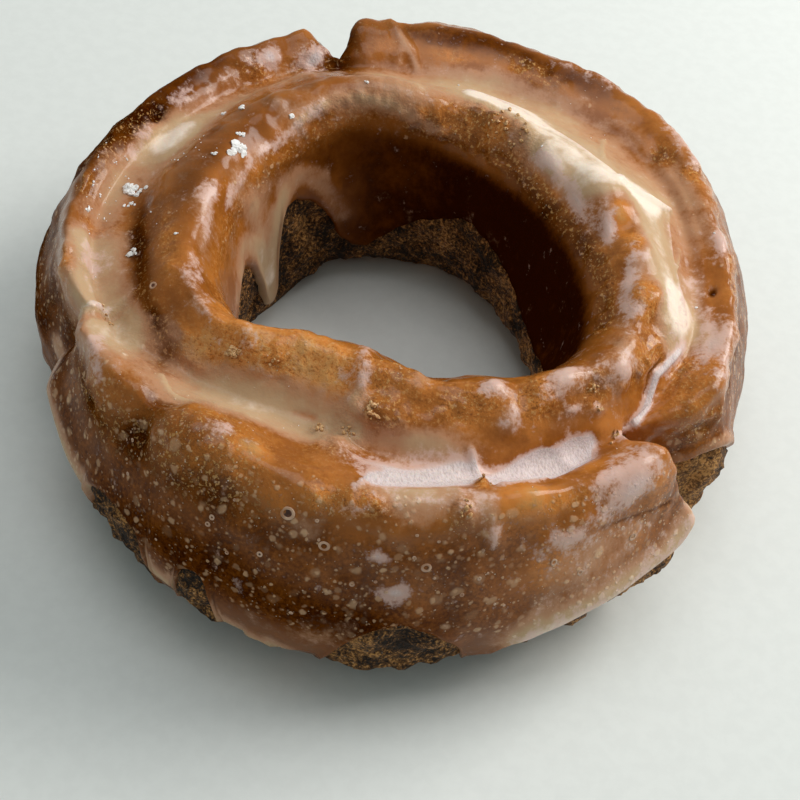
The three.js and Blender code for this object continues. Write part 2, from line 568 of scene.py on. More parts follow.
MARKS: tuple[Mark, ...] = (
    # The front petal, from the left split to the lower right one.
    Mark((213, 8.9), (4.2, 3.4), lift=-0.3),
    # A painted pinkish highlight on the crest.
    Mark((220, 9.0), (3.6, 1.1), lift=0.1, film=0.2, frost_and_highlight=0.4),
    Mark((226, 9.6), (5.0, 4.0), lift=0.8, glow=0.35, dusk=0.2, grit=0.3, dots=0.5),
    # A valley between the lobes, darkened as painted shade.
    Mark((234, 9.2), (2.2, 5.5), lift=-1.7, dusk=0.5),
    Mark((243.5, 9.0), (6.0, 4.0), lift=1.7, glow=0.3, dusk=0.22, dots=0.5, grit=0.3),
    # A painted pinkish highlight.
    Mark((246.3, 8.7), (1.9, 1.0), film=0.35, frost_and_highlight=0.4, glow=-0.2),
    Mark((251.8, 8.75), (1.5, 0.9), lift=0.2, glow=1.2, film=-0.3),
    Mark((247, 9.5), (7.0, 2.8), glow=0.5, dusk=0.3, grit=0.5, dots=0.4, film=-0.2),
    Mark((223, 9.9), (5.0, 2.4), glow=0.4, dusk=0.25, grit=0.5, dots=0.4, film=-0.15),
    Mark((256, 9.3), (2.4, 4.0), lift=-0.5, dusk=0.15),
    Mark((257, 8.9), (3.0, 2.4), lift=0.4, film=0.1),
    Mark((262, 9.7), (3.4, 2.4), film=0.25),
    Mark((264.5, 9.2), (1.8, 1.4), lift=0.3, glow=1.0, grit=0.9, film=-0.4),
    Mark((270.5, 9.05), (2.6, 1.2), lift=0.4, glow=0.7, dusk=0.2, grit=1.1, film=-0.35),
    Mark((269, 7.7), (2.6, 2.4), frost_and_highlight=0.4, film=0.2),
    Mark((276, 9.3), (4.0, 1.8), lift=0.2, film=0.3),
    Mark((284.6, 9.2), (1.1, 1.8), lift=0.8, dusk=0.25, grit=1.1, film=-0.1),
    Mark((287.7, 9.0), (1.9, 1.8), lift=0.2, film=0.6, frost_and_highlight=0.3),
    Mark((289.2, 9.6), (0.9, 1.6), lift=0.4, film=0.6, frost_and_highlight=0.4),
    Mark((295, 8.95), (4.0, 1.6), lift=0.5, glow=0.9, film=-0.1),
    Mark((301, 9.2), (4.0, 1.2), glow=0.6, grit=0.3),
    # A painted pinkish highlight, also brightened.
    Mark((300, 9.85), (3.6, 1.4), lift=0.4, film=0.35, frost_and_highlight=0.4, dusk=-0.2, dots=0.5),
    Mark((305, 10.3), (11.0, 3.8), film=0.55, dusk=-0.35, glow=0.3, dots=1.2, frost_and_highlight=0.14),
    Mark((299, 9.0), (6.0, 1.6), dusk=0.15),
    # These two marks darken the low front flank: painted shade.
    Mark((250, 10.6), (14.0, 4.0), film=-0.1, dusk=0.35),
    Mark((272, 10.9), (9.0, 3.0), dusk=0.3),
    # Painted pinkish highlights on the crest.
    Mark((312.5, 9.35), (4.4, 2.2), lift=0.6, film=0.35, frost_and_highlight=0.55),
    Mark((309, 8.9), (3.0, 1.2), film=0.3, frost_and_highlight=0.4),
    Mark((309, 8.1), (3.6, 1.8), lift=0.3, glow=0.5),
    Mark((319, 9.2), (3.0, 3.0), lift=0.2, glow=0.3),
    Mark((273.4, 9.87), (1.0, 0.8), lift=0.1, frost_and_highlight=0.6),
    Mark((276.4, 10.35), (1.8, 1.1), lift=0.1, frost_and_highlight=0.6),
    Mark((275, 12.2), (5.5, 3.4), lift=1.7),
    # The inner ridge, from the near left to the right.
    # A painted pinkish highlight on the ridge's crest.
    Mark((219, 5.1), (4.5, 0.9), film=0.3, frost_and_highlight=0.3),
    Mark((216, 6.4), (1.0, 0.8), lift=-0.3, dusk=0.25),
    Mark((222, 6.4), (5.0, 1.8), glow=0.6, dusk=0.25, grit=0.4, film=-0.1),
    # A painted highlight streak.
    Mark((235.5, 5.7), (1.5, 1.6), lift=0.3, film=0.4, frost_and_highlight=0.3),
    Mark((246, 5.6), (9.0, 2.8), lift=0.5, glow=0.8, dusk=-0.15, film=0.05),
    Mark((242.5, 5.9), (2.0, 0.9), glow=0.5, grit=0.9),
    Mark((251, 5.7), (4.0, 1.6), glow=0.5),
    Mark((228, 5.4), (5.0, 1.6), glow=0.4, film=0.05, grit=0.2),
    Mark((249, 6.5), (6.5, 1.2), glow=0.9),
    # A pale strand on the ridge, with a painted highlight along it.
    Mark((263, 4.9), (1.1, 2.4), lift=0.6, film=0.5, frost_and_highlight=0.35),
    Mark((264.6, 5.7), (0.9, 1.8), lift=0.3, film=0.6, frost_and_highlight=0.35),
    Mark((259.5, 5.6), (1.2, 1.0), film=0.3, frost_and_highlight=0.25),
    Mark((273, 5.1), (4.0, 2.4), lift=0.9, glow=0.5, dusk=0.3, grit=0.7, film=-0.1),
    Mark((279, 5.1), (1.4, 2.0), film=0.4),
    Mark((270, 6.2), (3.0, 1.8), lift=1.6, glow=0.3, dusk=0.35, grit=1.2, film=-0.1),
    Mark((263.5, 7.3), (2.4, 3.6), lift=1.6, glow=0.2, dusk=0.3, grit=1.1),
    Mark((258.3, 7.0), (0.9, 0.8), lift=0.5, grit=0.9),
    Mark((281, 4.4), (3.2, 3.2), lift=-1.8),
    Mark((279, 6.5), (5.5, 1.7), film=0.6),
    Mark((289.7, 5.6), (4.0, 2.2), lift=0.3, glow=0.7, grit=0.7, dusk=0.1, film=-0.1),
    # Painted pinkish highlights on the ridge's lumps.
    Mark((296.3, 5.1), (2.0, 1.4), lift=0.8, film=0.5, frost_and_highlight=0.5),
    Mark((298.3, 5.95), (1.4, 1.6), lift=0.5, film=0.5, frost_and_highlight=0.45),
    Mark((303, 5.0), (1.6, 2.4), lift=-0.7),
    Mark((305.2, 5.5), (2.2, 2.2), lift=0.6, glow=0.9, grit=0.9, film=-0.25),
    # Painted pinkish highlights on the ridge's lumps.
    Mark((312.5, 5.15), (2.8, 1.4), lift=0.9, film=0.5, frost_and_highlight=0.5),
    Mark((312, 5.95), (1.8, 0.7), lift=0.3, film=0.4, frost_and_highlight=0.4, grit=0.3),
    Mark((318.5, 5.6), (2.2, 1.8), lift=-0.2, dusk=0.35, glow=0.5, grit=0.8),
    Mark((317.5, 6.2), (1.2, 0.7), lift=0.3, film=0.4, frost_and_highlight=0.3, grit=0.2),
    # A painted pinkish highlight.
    Mark((326, 5.6), (2.6, 1.9), lift=0.9, film=0.5, frost_and_highlight=0.45),
    Mark((331, 5.1), (2.4, 0.9), film=0.35, grit=0.3),
    Mark((336, 6.0), (5.0, 1.5), lift=0.3, glow=0.6, dusk=0.2, grit=0.9),
    Mark((320, 6.8), (3.4, 1.6), lift=0.3, glow=0.4, grit=-0.2),
    Mark((340, 5.3), (1.6, 2.6), lift=-0.7),
    # This mark and the pale one at 351 are painted pinkish highlights along the crest.
    Mark((341, 4.95), (2.2, 1.0), film=0.4, frost_and_highlight=0.4),
    Mark((347.5, 5.4), (3.6, 1.8), lift=0.8, glow=0.7, dusk=0.15, grit=0.7, film=-0.1),
    Mark((351, 4.8), (4.4, 1.1), film=0.45, frost_and_highlight=0.5),
    Mark((353, 5.0), (1.6, 2.4), lift=-0.5),
    Mark((1, 5.2), (4.2, 2.2), lift=0.8),
    Mark((4, 5.15), (2.2, 1.0), glow=0.9, grit=0.4, film=-0.2),
    # The pale marks at 10, 23 and 42 are painted pinkish highlights along the crest.
    Mark((10, 4.7), (3.2, 1.1), lift=0.2, film=0.45, frost_and_highlight=0.55),
    Mark((13.3, 5.05), (2.2, 1.0), glow=1.1, film=-0.3),
    Mark((9, 5.0), (1.7, 2.4), lift=-0.6),
    Mark((18, 5.1), (4.0, 2.6), lift=0.9),
    Mark((23, 4.5), (3.4, 1.1), film=0.45, frost_and_highlight=0.55),
    Mark((28, 4.9), (3.2, 2.2), lift=0.5),
    Mark((34.6, 4.75), (2.6, 1.0), glow=0.9, film=-0.2),
    Mark((35, 4.85), (1.6, 2.2), lift=-0.5),
    Mark((42, 4.65), (3.2, 1.1), film=0.45, frost_and_highlight=0.5),
    Mark((43, 4.8), (4.0, 2.0), lift=0.7),
    Mark((51, 4.8), (1.6, 2.2), lift=-0.5),
    Mark((57, 4.95), (3.0, 1.5), lift=0.6, glow=0.9, dusk=0.3, grit=1.1, film=-0.2),
    Mark((66, 5.1), (4.4, 1.7), lift=0.7, glow=0.8, dusk=0.25, grit=1.1, film=-0.2),
    Mark((75, 5.2), (3.4, 1.8), lift=0.4, glow=0.6, dusk=0.25, grit=0.9, film=-0.1),
    Mark((72, 4.9), (1.4, 2.2), lift=-0.8, dusk=0.2),
    Mark((81, 5.2), (3.0, 1.8), lift=-0.3),
    Mark((96, 5.1), (5.0, 2.6), lift=0.9, film=0.15),
    Mark((110, 5.1), (6.0, 2.6), lift=0.4, film=0.25),
    Mark((103, 4.8), (7.0, 1.0), film=0.15, frost_and_highlight=0.1),
    Mark((136, 4.9), (8.0, 2.6), lift=0.3, film=0.1),
    Mark((155, 4.9), (16.0, 2.6), lift=-0.2, dusk=0.3),
    Mark((182, 5.0), (14.0, 2.0), dusk=0.15, film=0.05),
    Mark((178, 4.8), (6.0, 3.0), lift=0.4),
    Mark((175, 3.6), (40.0, 2.2), grit=0.4, dots=0.45, glow=0.1),
    # Painted pinkish highlights along the ridge's crest at the left.
    Mark((185, 4.75), (3.2, 1.5), film=0.35, frost_and_highlight=0.4),
    Mark((194.5, 4.5), (3.6, 1.0), film=0.3, frost_and_highlight=0.3),
    Mark((210, 4.75), (3.6, 1.1), film=0.3, frost_and_highlight=0.35),
    Mark((212, 5.4), (6.0, 3.0), lift=0.3),
    # Its steep outer foot at the left, dark above the low flat of the pool beside it.
    Mark((186, 6.3), (15.0, 2.3), lift=-1.0),
    Mark((160, 6.3), (12.0, 2.0), lift=-0.7),
    Mark((172, 5.6), (10.0, 1.4), dusk=0.1, film=0.12),
    Mark((199, 6.1), (15.0, 1.8), dusk=0.75, glow=0.3, film=-0.6, grit=0.3),
    Mark((198, 5.5), (8.0, 1.2), glow=0.4, grit=0.35),
    Mark((159.3, 5.68), (1.7, 1.0), dusk=0.3, film=-0.1),
    # The left petal.
    Mark((113, 7.3), (3.4, 5.5), glow=0.2, dusk=0.8, film=-0.3),
    Mark((118, 7.4), (2.4, 2.0), lift=0.4, film=0.25, frost_and_highlight=0.25, grit=0.6),
    Mark((126.7, 8.0), (1.3, 2.4), film=0.25, frost_and_highlight=0.4),
    Mark((132, 7.9), (2.4, 1.6), lift=0.2, dusk=0.25, glow=0.4, grit=0.9, film=-0.2),
    Mark((139, 8.0), (2.2, 1.6), film=0.25, frost_and_highlight=0.2),
    Mark((141, 8.8), (3.0, 2.6), lift=-0.3, glow=0.1),
    Mark((149.5, 7.7), (3.4, 2.0), lift=0.3, film=0.3, frost_and_highlight=0.05),
    Mark((150, 8.6), (20.0, 3.2), dusk=0.6, film=-0.3),
    Mark((180, 8.8), (14.0, 2.4), dusk=0.4, film=-0.2),
    Mark((157.5, 8.0), (1.0, 0.9), lift=-0.9, dusk=1.3, glow=0.5, film=-0.4),
    Mark((161, 8.1), (3.4, 2.2), lift=0.3, glow=0.3, dusk=0.35, grit=0.9, film=-0.15),
    Mark((166, 7.6), (3.0, 1.2), film=0.2, frost_and_highlight=0.3),
    Mark((161, 7.9), (1.6, 1.0), lift=0.2, frost_and_highlight=0.25),
    Mark((150, 8.1), (3.0, 1.4), lift=0.2, frost_and_highlight=0.25),
    Mark((147, 7.4), (3.4, 1.0), frost_and_highlight=0.15),
    Mark((117.2, 7.6), (2.0, 1.6), lift=0.2, frost_and_highlight=0.45),
    Mark((129, 8.1), (2.6, 1.4), frost_and_highlight=0.3),
    Mark((172, 8.2), (4.0, 1.2), lift=0.2, grit=0.3),
    Mark((183, 8.2), (4.0, 1.0), lift=-0.2, grit=0.3),
    Mark((170, 8.8), (3.0, 1.8), lift=-0.2, glow=0.2, grit=0.6),
    Mark((178, 8.9), (5.0, 2.8), lift=0.3),
    Mark((181, 8.9), (1.8, 1.0), glow=0.6, grit=0.8, film=-0.2),
    Mark((189, 7.6), (1.6, 2.0), glow=0.4, grit=0.5, film=-0.35),
    Mark((196, 7.5), (3.6, 1.6), film=0.3, frost_and_highlight=0.4),
    Mark((199.5, 9.0), (4.0, 1.4), lift=0.2, glow=0.9, grit=0.9, film=-0.25),
    Mark((197, 8.9), (6.0, 2.0), lift=0.3),
    Mark((216, 8.9), (3.0, 1.2), film=0.1, frost_and_highlight=0.1),
    Mark((209.5, 10.2), (4.0, 3.0), glow=0.2, dusk=0.2),
    Mark((208.5, 7.5), (3.4, 4.0), film=-0.45),
    Mark((222, 7.4), (4.5, 3.5), dusk=0.2, film=-0.22),
    Mark((161, 8.0), (7.0, 2.5), dusk=0.2, film=-0.25),
    Mark((182, 10.6), (26.0, 4.0), dusk=0.3, film=-0.15),
    Mark((205.8, 8.1), (0.7, 2.4), lift=0.25, film=0.4, frost_and_highlight=0.35, grit=0.5),
    Mark((207.3, 8.0), (0.8, 3.0), glow=0.5, dusk=0.1, grit=0.6, film=-0.4),
    # The right petal, from the top split to the lower right one.
    Mark((105.5, 7.2), (4.0, 3.4), lift=0.2),
    Mark((103, 8.6), (3.2, 2.6), lift=0.4),
    Mark((99, 7.9), (1.1, 3.0), lift=0.1, film=0.35),
    Mark((90, 8.5), (8.0, 2.2), lift=0.1, glow=0.45, dusk=0.6, film=-0.45),
    Mark((88, 8.0), (2.4, 1.0), glow=0.8, grit=0.4),
    Mark((90, 7.15), (3.0, 0.45), glow=0.8),
    Mark((82.5, 7.6), (1.6, 0.4), glow=0.8),
    Mark((76, 9.0), (4.0, 2.2), lift=-0.2),
    Mark((70, 8.1), (4.0, 1.5), lift=0.3, glow=0.5, dusk=0.2, grit=0.6, film=-0.1),
    Mark((74, 8.3), (1.8, 0.8), grit=0.9, film=0.3),
    # Painted pinkish highlights on the petal's crest.
    Mark((66.5, 8.7), (1.4, 1.0), lift=0.2, film=0.2, frost_and_highlight=0.3),
    Mark((60, 8.9), (3.0, 1.4), lift=0.4, film=0.2, frost_and_highlight=0.3),
    Mark((63.5, 7.35), (0.7, 0.5), dusk=0.9),
    Mark((52, 8.3), (4.5, 2.4), glow=0.3, dusk=0.1),
    Mark((68, 8.5), (9.0, 2.0), dusk=0.55, film=-0.25),
    Mark((82, 9.2), (16.0, 2.0), dusk=0.2),
    Mark((352, 9.8), (12.0, 2.6), dusk=0.1, film=0.1),
    Mark((38, 8.1), (1.6, 1.4), lift=-0.2, glow=0.7, dusk=0.4, grit=1.1, film=-0.3),
    Mark((31, 8.6), (1.5, 1.0), glow=0.8, dusk=0.3, grit=1.1, film=-0.2),
    # Painted pinkish highlights on the petal's crest.
    Mark((39.5, 8.95), (3.0, 1.0), lift=0.4, film=0.35, frost_and_highlight=0.45),
    Mark((33.5, 9.1), (1.6, 0.9), lift=0.4, film=0.35, frost_and_highlight=0.45),
    Mark((24, 8.4), (4.0, 2.0), lift=0.2, film=0.25),
    # A painted pinkish highlight.
    Mark((13, 8.8), (2.4, 1.2), lift=0.4, film=0.4, frost_and_highlight=0.5),
    Mark((358.8, 8.2), (3.2, 1.7), glow=0.4, dusk=0.15, film=-0.35),
    Mark((1, 8.1), (0.7, 0.5), lift=-0.3, dusk=0.9),
    Mark((2, 9.2), (7.0, 0.8), grit=0.7),
    # A painted pinkish highlight.
    Mark((351, 8.8), (4.0, 1.4), lift=0.3, film=0.2, frost_and_highlight=0.2),
    Mark((345.5, 8.1), (2.6, 1.8), film=0.35, frost_and_highlight=0.3),
    Mark((340.5, 7.4), (2.6, 1.2), glow=0.8, grit=0.7, dusk=0.2),
    Mark((334, 8.6), (6.5, 3.6), lift=0.7, glow=0.7, dusk=0.2, grit=0.4, film=-0.2),
    Mark((335, 9.6), (3.5, 1.2), glow=0.3, grit=0.9),
    Mark((343, 9.0), (2.4, 1.2), film=0.2, frost_and_highlight=0.35, grit=0.3),
    Mark((348, 10.3), (10.0, 2.6), film=0.3, dots=0.4),
)

LINES: tuple[Line, ...] = (
    # The deep pool of glaze at the front left, with the pale curls in it.
    Line(((213, 7.1), (217, 7.2), (222, 7.45), (228, 7.5), (234, 7.35), (240, 7.1), (247, 6.85), (254, 6.75),
          (259, 6.7)), 4.9, 0.5, lift=-0.2, film=0.8),
    # A golden band at the ridge's foot: golden dough under clear glaze, and a painted glow of light through
    # the glaze.
    Line(((229, 6.2), (236, 6.0), (244, 5.9), (252, 5.8), (258, 5.7)), 2.6,
         film=-0.5, glow=1.5, dusk=-0.4, grit=0.25),
    # A pale curl in the pool: a low ridge, whitened as a painted reflection.
    Line(((228, 7.9), (232, 8.15), (237, 8.15)), 0.3, lift=0.15, film=0.3),
    Line(((220, 8.75), (228, 8.85), (236, 8.75)), 0.7, film=0.2),
    Line(((252, 6.75), (256, 6.7)), 0.4, glow=0.8, film=-0.3),
    # The long hollow from the left split round the back to the top split.
    Line(((207, 7.1), (200, 7.2), (190, 7.3), (180, 7.35), (170, 7.3), (160, 7.0)), 4.8, 0.3, film=0.7),
    Line(((162, 6.8), (150, 6.6), (138, 6.5), (124, 6.4)), 3.2, 0.0, film=0.6),
    Line(((193, 8.2), (199, 8.2), (205, 8.4)), 1.6, 0.3, film=0.3),
    # The hollow of the right petal, from the top split to the lower right one.
    Line(((103, 6.2), (96, 6.2), (88, 6.4), (79, 6.6), (70, 6.5), (60, 6.35), (50, 6.35), (40, 6.2),
          (28, 6.2)), 5.0, 0.35, lift=-0.1, film=0.62),
    Line(((25, 7.2), (15, 7.25), (5, 7.2), (355, 7.2)), 4.4, 0.0, film=0.14, frost_and_highlight=0.05),
    Line(((92, 7.0), (80, 7.2), (68, 7.3), (56, 7.3), (44, 7.3), (32, 7.3), (20, 7.3)), 3.2, 0.2, film=0.16),
    Line(((2, 6.9), (355, 7.4), (349, 8.1)), 2.2, 0.2, film=0.45, frost_and_highlight=0.25),
    Line(((96, 7.4), (97, 7.9), (98.5, 8.4), (100.5, 9.0)), 0.7, lift=0.12, film=0.4),
    Line(((32, 7.7), (20, 7.8), (8, 7.8)), 3.0, 0.0, film=0.1),
    Line(((98, 9.3), (80, 9.4), (60, 9.3), (40, 9.3), (20, 9.3), (0, 9.3), (345, 9.3)), 1.5,
         film=0.12, grit=0.3, dots=0.6),
    # The pale bank of glaze inside it, the crinkle where it steps in, and the wrinkle in the pool.
    Line(((76, 5.95), (67, 5.65), (58, 5.35), (48, 5.12), (38, 5.05), (28, 5.05)), 3.1, 0.2,
         lift=0.3, film=1.08),
    Line(((20, 5.95), (12, 5.93), (4, 5.88), (357, 5.95), (350, 6.15)), 3.2, 0.15, lift=0.2, film=0.95),
    Line(((352, 6.2), (347, 6.35), (342, 6.4)), 1.9, film=0.55, frost_and_highlight=0.15),
    Line(((82, 6.1), (74, 6.05), (67, 5.85), (58, 5.58), (48, 5.5), (38, 5.5), (27, 5.5)), 0.35,
         lift=0.22, film=0.3, frost_and_highlight=0.35),
    Line(((82, 6.5), (74, 6.4), (66, 6.2), (57, 5.95), (47, 5.85), (37, 5.85), (28, 5.9)), 1.3, film=0.2),
    Line(((27, 5.45), (24.5, 5.8), (23.4, 6.3), (23.2, 6.8)), 0.45, lift=0.5, film=0.4, frost_and_highlight=0.2),
    Line(((22, 6.7), (17, 6.55), (8, 6.4), (358, 6.4), (350, 6.6)), 0.35, lift=0.2, film=0.2, frost_and_highlight=0.3),
    Line(((12, 6.8), (8, 6.65), (4, 6.45)), 0.3, lift=0.3, film=0.25),
    Line(((39, 5.9), (43, 6.2), (46, 6.5), (48.5, 6.9)), 0.3, lift=0.2, film=0.2),
    # The two white cracks in front, the bright lip of the first and the strand between them.
    Line(((272, 8.35), (276, 8.2), (281, 8.05), (287, 7.8)), 1.8, 0.3, lift=-0.3, frost_and_highlight=0.85, film=0.5),
    Line(((274, 7.5), (280, 7.2), (287, 7.0)), 2.2, 0.0, lift=-0.1, frost_and_highlight=0.4, film=0.5),
    Line(((276, 7.9), (281, 7.6), (287, 7.3)), 1.8, 0.2, frost_and_highlight=0.6, film=0.2),
    Line(((270, 8.85), (277, 8.65), (284, 8.5)), 0.9, film=0.5),
    Line(((268.5, 8.85), (270, 8.5), (273.5, 8.2), (279, 7.9), (286, 7.55)), 0.32,
         lift=0.45, frost_and_highlight=0.6, film=0.5),
    Line(((293.5, 7.7), (298, 7.5), (303, 7.3)), 2.5, 0.6, lift=-0.7, frost_and_highlight=0.95, film=0.6),
    Line(((303, 7.25), (307, 7.1), (310, 6.95)), 1.9, 0.5, lift=-0.4, frost_and_highlight=0.7, film=0.3),
    Line(((310, 6.95), (312, 6.85), (314, 6.8)), 1.0, 0.4, lift=-0.4, frost_and_highlight=0.7, film=0.3),
    Line(((291.5, 8.4), (296, 8.3), (300, 8.1)), 0.4, lift=0.3, frost_and_highlight=0.4, film=0.4),
    Line(((268, 9.2), (277, 8.95), (284, 8.85)), 1.1, film=0.45, frost_and_highlight=0.2),
    Line(((289.6, 6.5), (290, 7.1), (290.2, 7.7), (289.2, 8.2)), 0.35, lift=0.35, frost_and_highlight=0.4, film=0.3),
    Line(((289, 8.0), (288.3, 8.5)), 0.7, lift=0.4, glow=0.7, frost_and_highlight=-0.8, film=-0.3, grit=0.6),
    # The open crack at the right, from the ridge's foot down into the split.
    Line(((345, 6.75), (340, 6.6), (335, 6.5), (331.5, 6.8), (328.5, 7.3), (326, 7.7), (322, 8.0)), 0.9,
         lift=-0.15, frost_and_highlight=0.5, film=0.3),
    Line(((343, 6.7), (339, 6.6), (335, 6.55), (332, 6.85), (329.5, 7.3), (327, 7.8)), 0.3, 0.3,
         lift=0.25, frost_and_highlight=0.8, film=0.5),
    # The dark line inside the crack: dough showing, and painted shade.
    Line(((338, 6.4), (334, 6.35), (331, 6.7)), 0.3, lift=-0.25, dusk=0.5, film=-0.3, frost_and_highlight=-0.3),
    Line(((346, 6.9), (350, 6.8), (354, 6.6)), 1.8, 0.3, film=0.5),
    # The thick pale lower lip of the front petal, its dark seam and a run of milk beside the pit.
    Line(((296, 11.3), (304, 11.1), (312, 10.95), (321, 10.7)), 3.0,
         lift=0.1, film=0.95, frost_and_highlight=0.3, dots=1.0),
    Line(((306, 9.9), (312, 10.0), (318, 10.1)), 0.3, lift=-0.1, dusk=0.3),
    # The greyish band along the low edge: the glaze's own milk, and a painted reflection of the pale floor.
    Line(((206, 10.7), (214, 10.9), (222, 11.1), (230, 11.15), (238, 11.3), (246, 11.5), (254, 11.8),
          (262, 12.0)), 1.7, film=0.7, dusk=-0.5),
    Line(((253, 10.0), (256, 10.12), (259, 10.15)), 0.6, 0.2, film=0.35),
    Line(((327, 10.1), (333, 10.1), (339, 10.4), (344, 10.8)), 1.0, 0.4, lift=0.1, film=0.4),
    # Speckled edges: along the lip of the hole, and round the back.
    Line(((337, 4.22), (354, 4.34), (10, 4.2), (29, 4.08), (48, 4.27), (66, 4.4), (80, 4.4), (97, 4.3)),
         1.2, 0.3, glow=0.3, dusk=0.35, grit=1.2),
    Line(((80, 4.35), (90, 4.3), (103, 4.5), (115, 4.55), (125, 4.5), (137, 4.35)), 0.9, 0.3,
         film=0.3, grit=0.7),
    # A broad soft sheen along the ridge at the left, a painted highlight in pale milky glaze, and milky
    # glaze low in the hole.
    Line(((127, 4.5), (137, 4.35), (148, 4.2), (156, 4.3), (168, 4.2), (180, 4.15)), 1.1, film=0.35,
         frost_and_highlight=0.35, dusk=-0.2),
    Line(((120, 2.1), (130, 2.7), (140, 3.0), (152, 2.7), (158, 1.6), (165, 2.3), (178, 2.8), (190, 2.3),
          (198, 1.6)), 1.6, 0.2, film=0.45, dusk=-0.2),
    Line(((150, 3.0), (153, 2.0), (156, 1.0)), 1.6, film=0.35),
    Line(((166, 3.2), (163, 2.2), (160, 1.2)), 2.2, film=0.45),
)


@dataclass
class Relief:
    """Everything that lies on the smooth form: lumps, hollows, cracks, and how the glaze varies.

    crests: station and reach of the ridge's crest and of the petals'.
    wall: the stations where the wall of the hole starts to end and where it has ended.
    lip: station and reach of the bubbly lip of the hole.
    top: the stations between which the top begins.
    flank: the stations where the petals' upper flank starts, is full, starts to end and has ended.
    speckled: the same of the part of it that holds the most bubbles.
    foot: the stations between which the lower side begins.
    shaded_heading: the heading where the wall of the hole, facing away from the key light, takes the deepest
    painted shade.
    broad_lumps and fine_lumps: for two sizes of lump, a shift that sets it apart and its width.
    """

    form: RingForm
    marks: Sequence[Mark] = MARKS
    lines: Sequence[Line] = LINES
    broad: Grain = field(default_factory=lambda: Grain(3))
    fine: Grain = field(default_factory=lambda: Grain(8))
    crests: Sequence[tuple[float, float]] = ((5.1, 1.1), (9.3, 1.2))
    wall: tuple[float, float] = (3.3, 4.4)
    lip: tuple[float, float] = (3.6, 0.7)
    top: tuple[float, float] = (3.6, 4.6)
    flank: tuple[float, float, float, float] = (9.2, 9.9, 10.5, 11.1)
    speckled: tuple[float, float, float, float] = (8.7, 9.4, 10.9, 11.4)
    foot: tuple[float, float] = (10.4, 11.1)
    shaded_heading: float = 30.0
    broad_lumps: Sequence[tuple[float, float]] = ((0.0, 9.0), (40.0, 4.5))
    fine_lumps: Sequence[tuple[float, float]] = ((0.0, 2.2), (20.0, 1.1))

    def over(self, patch: Patch) -> dict[str, np.ndarray]:
        """The relief and the looks over a grid.

        Args:
            patch: the grid.

        Returns:
            lift in millimetres, and each layer, by name.
        """
        layers = {"lift": np.zeros(patch.points.shape[:-1])}
        for layer in Layer:
            layers[layer.value] = np.zeros_like(layers["lift"])
        for feature in (*self.marks, *self.lines):
            cover = feature.cover(self.form, patch)
            for name, values in layers.items():
                amount = getattr(feature, name)
                if amount:
                    values += amount * cover
        self._roughen(patch, layers)
        return layers

    def _roughen(self, patch: Patch, layers: dict[str, np.ndarray]) -> None:
        """Adds the uneven lumps of the crust, most on the crests and least in the pools.

        Args:
            patch: the grid.
            layers: the layers so far, changed in place.
        """
        s = patch.stations
        crest = sum(hill(s - at, reach) for at, reach in self.crests)
        calm = 1.0 - 0.85 * smoothstep(np.clip(layers["film"] + layers["frost_and_highlight"], 0.0, 1.0), 0.3, 0.7)
        grit = np.clip(layers["grit"], 0.0, 1.2)
        big, middle = (self.broad.at(patch.points + shift, width) for shift, width in self.broad_lumps)
        small, tiny = (self.fine.at(patch.points + shift, width) for shift, width in self.fine_lumps)
        layers["lift"] += 0.35 * big + crest * calm * (0.4 * middle)
        layers["lift"] += calm * ((0.06 + 0.14 * crest) * small + 0.04 * tiny)
        layers["lift"] += grit * (0.3 * small + 0.35 * tiny)

        # Painted shade: the wall of the hole is darker, with less film, where it faces away from the key
        # light, and the petals' upper flank and lower side are darker as well.
        wall = 1.0 - smoothstep(s, *self.wall)
        shade = wall * (0.5 + 0.5 * np.cos(np.radians(patch.headings[:, None] - self.shaded_heading)))
        flank = band(s, *self.flank)
        low = smoothstep(s, *self.foot)
        uneven = calm * middle
        layers["dusk"] += 0.12 + 1.1 * shade + 0.4 * flank + 0.4 * low - 0.15 * crest * uneven
        layers["film"] += 0.01 + 0.1 * big - 0.12 * uneven + 0.12 * wall - 0.32 * shade
        layers["film"] += 0.08 * low - 0.15 * flank
        layers["glow"] += 0.25 + 0.3 * middle + 0.15 * small * crest
        layers["grit"] += 0.08 * crest
        layers["dots"] += 0.02 + 0.2 * smoothstep(s, *self.top) + 0.95 * band(s, *self.speckled)
        layers["dots"] += 0.2 * hill(s - self.lip[0], self.lip[1])


# Ring-shaped meshes


def make_piece(name: str, bm: bmesh.types.BMesh) -> bpy.types.Object:
    """Makes a modelled mesh a piece in the scene.

    Args:
        name: the piece's name.
        bm: its mesh, which is used up.

    Returns:
        The piece.
    """
    mesh = bpy.data.meshes.new(name)
    bm.to_mesh(mesh)
    bm.free()
    piece = bpy.data.objects.new(name, mesh)
    bpy.context.collection.objects.link(piece)
    return piece


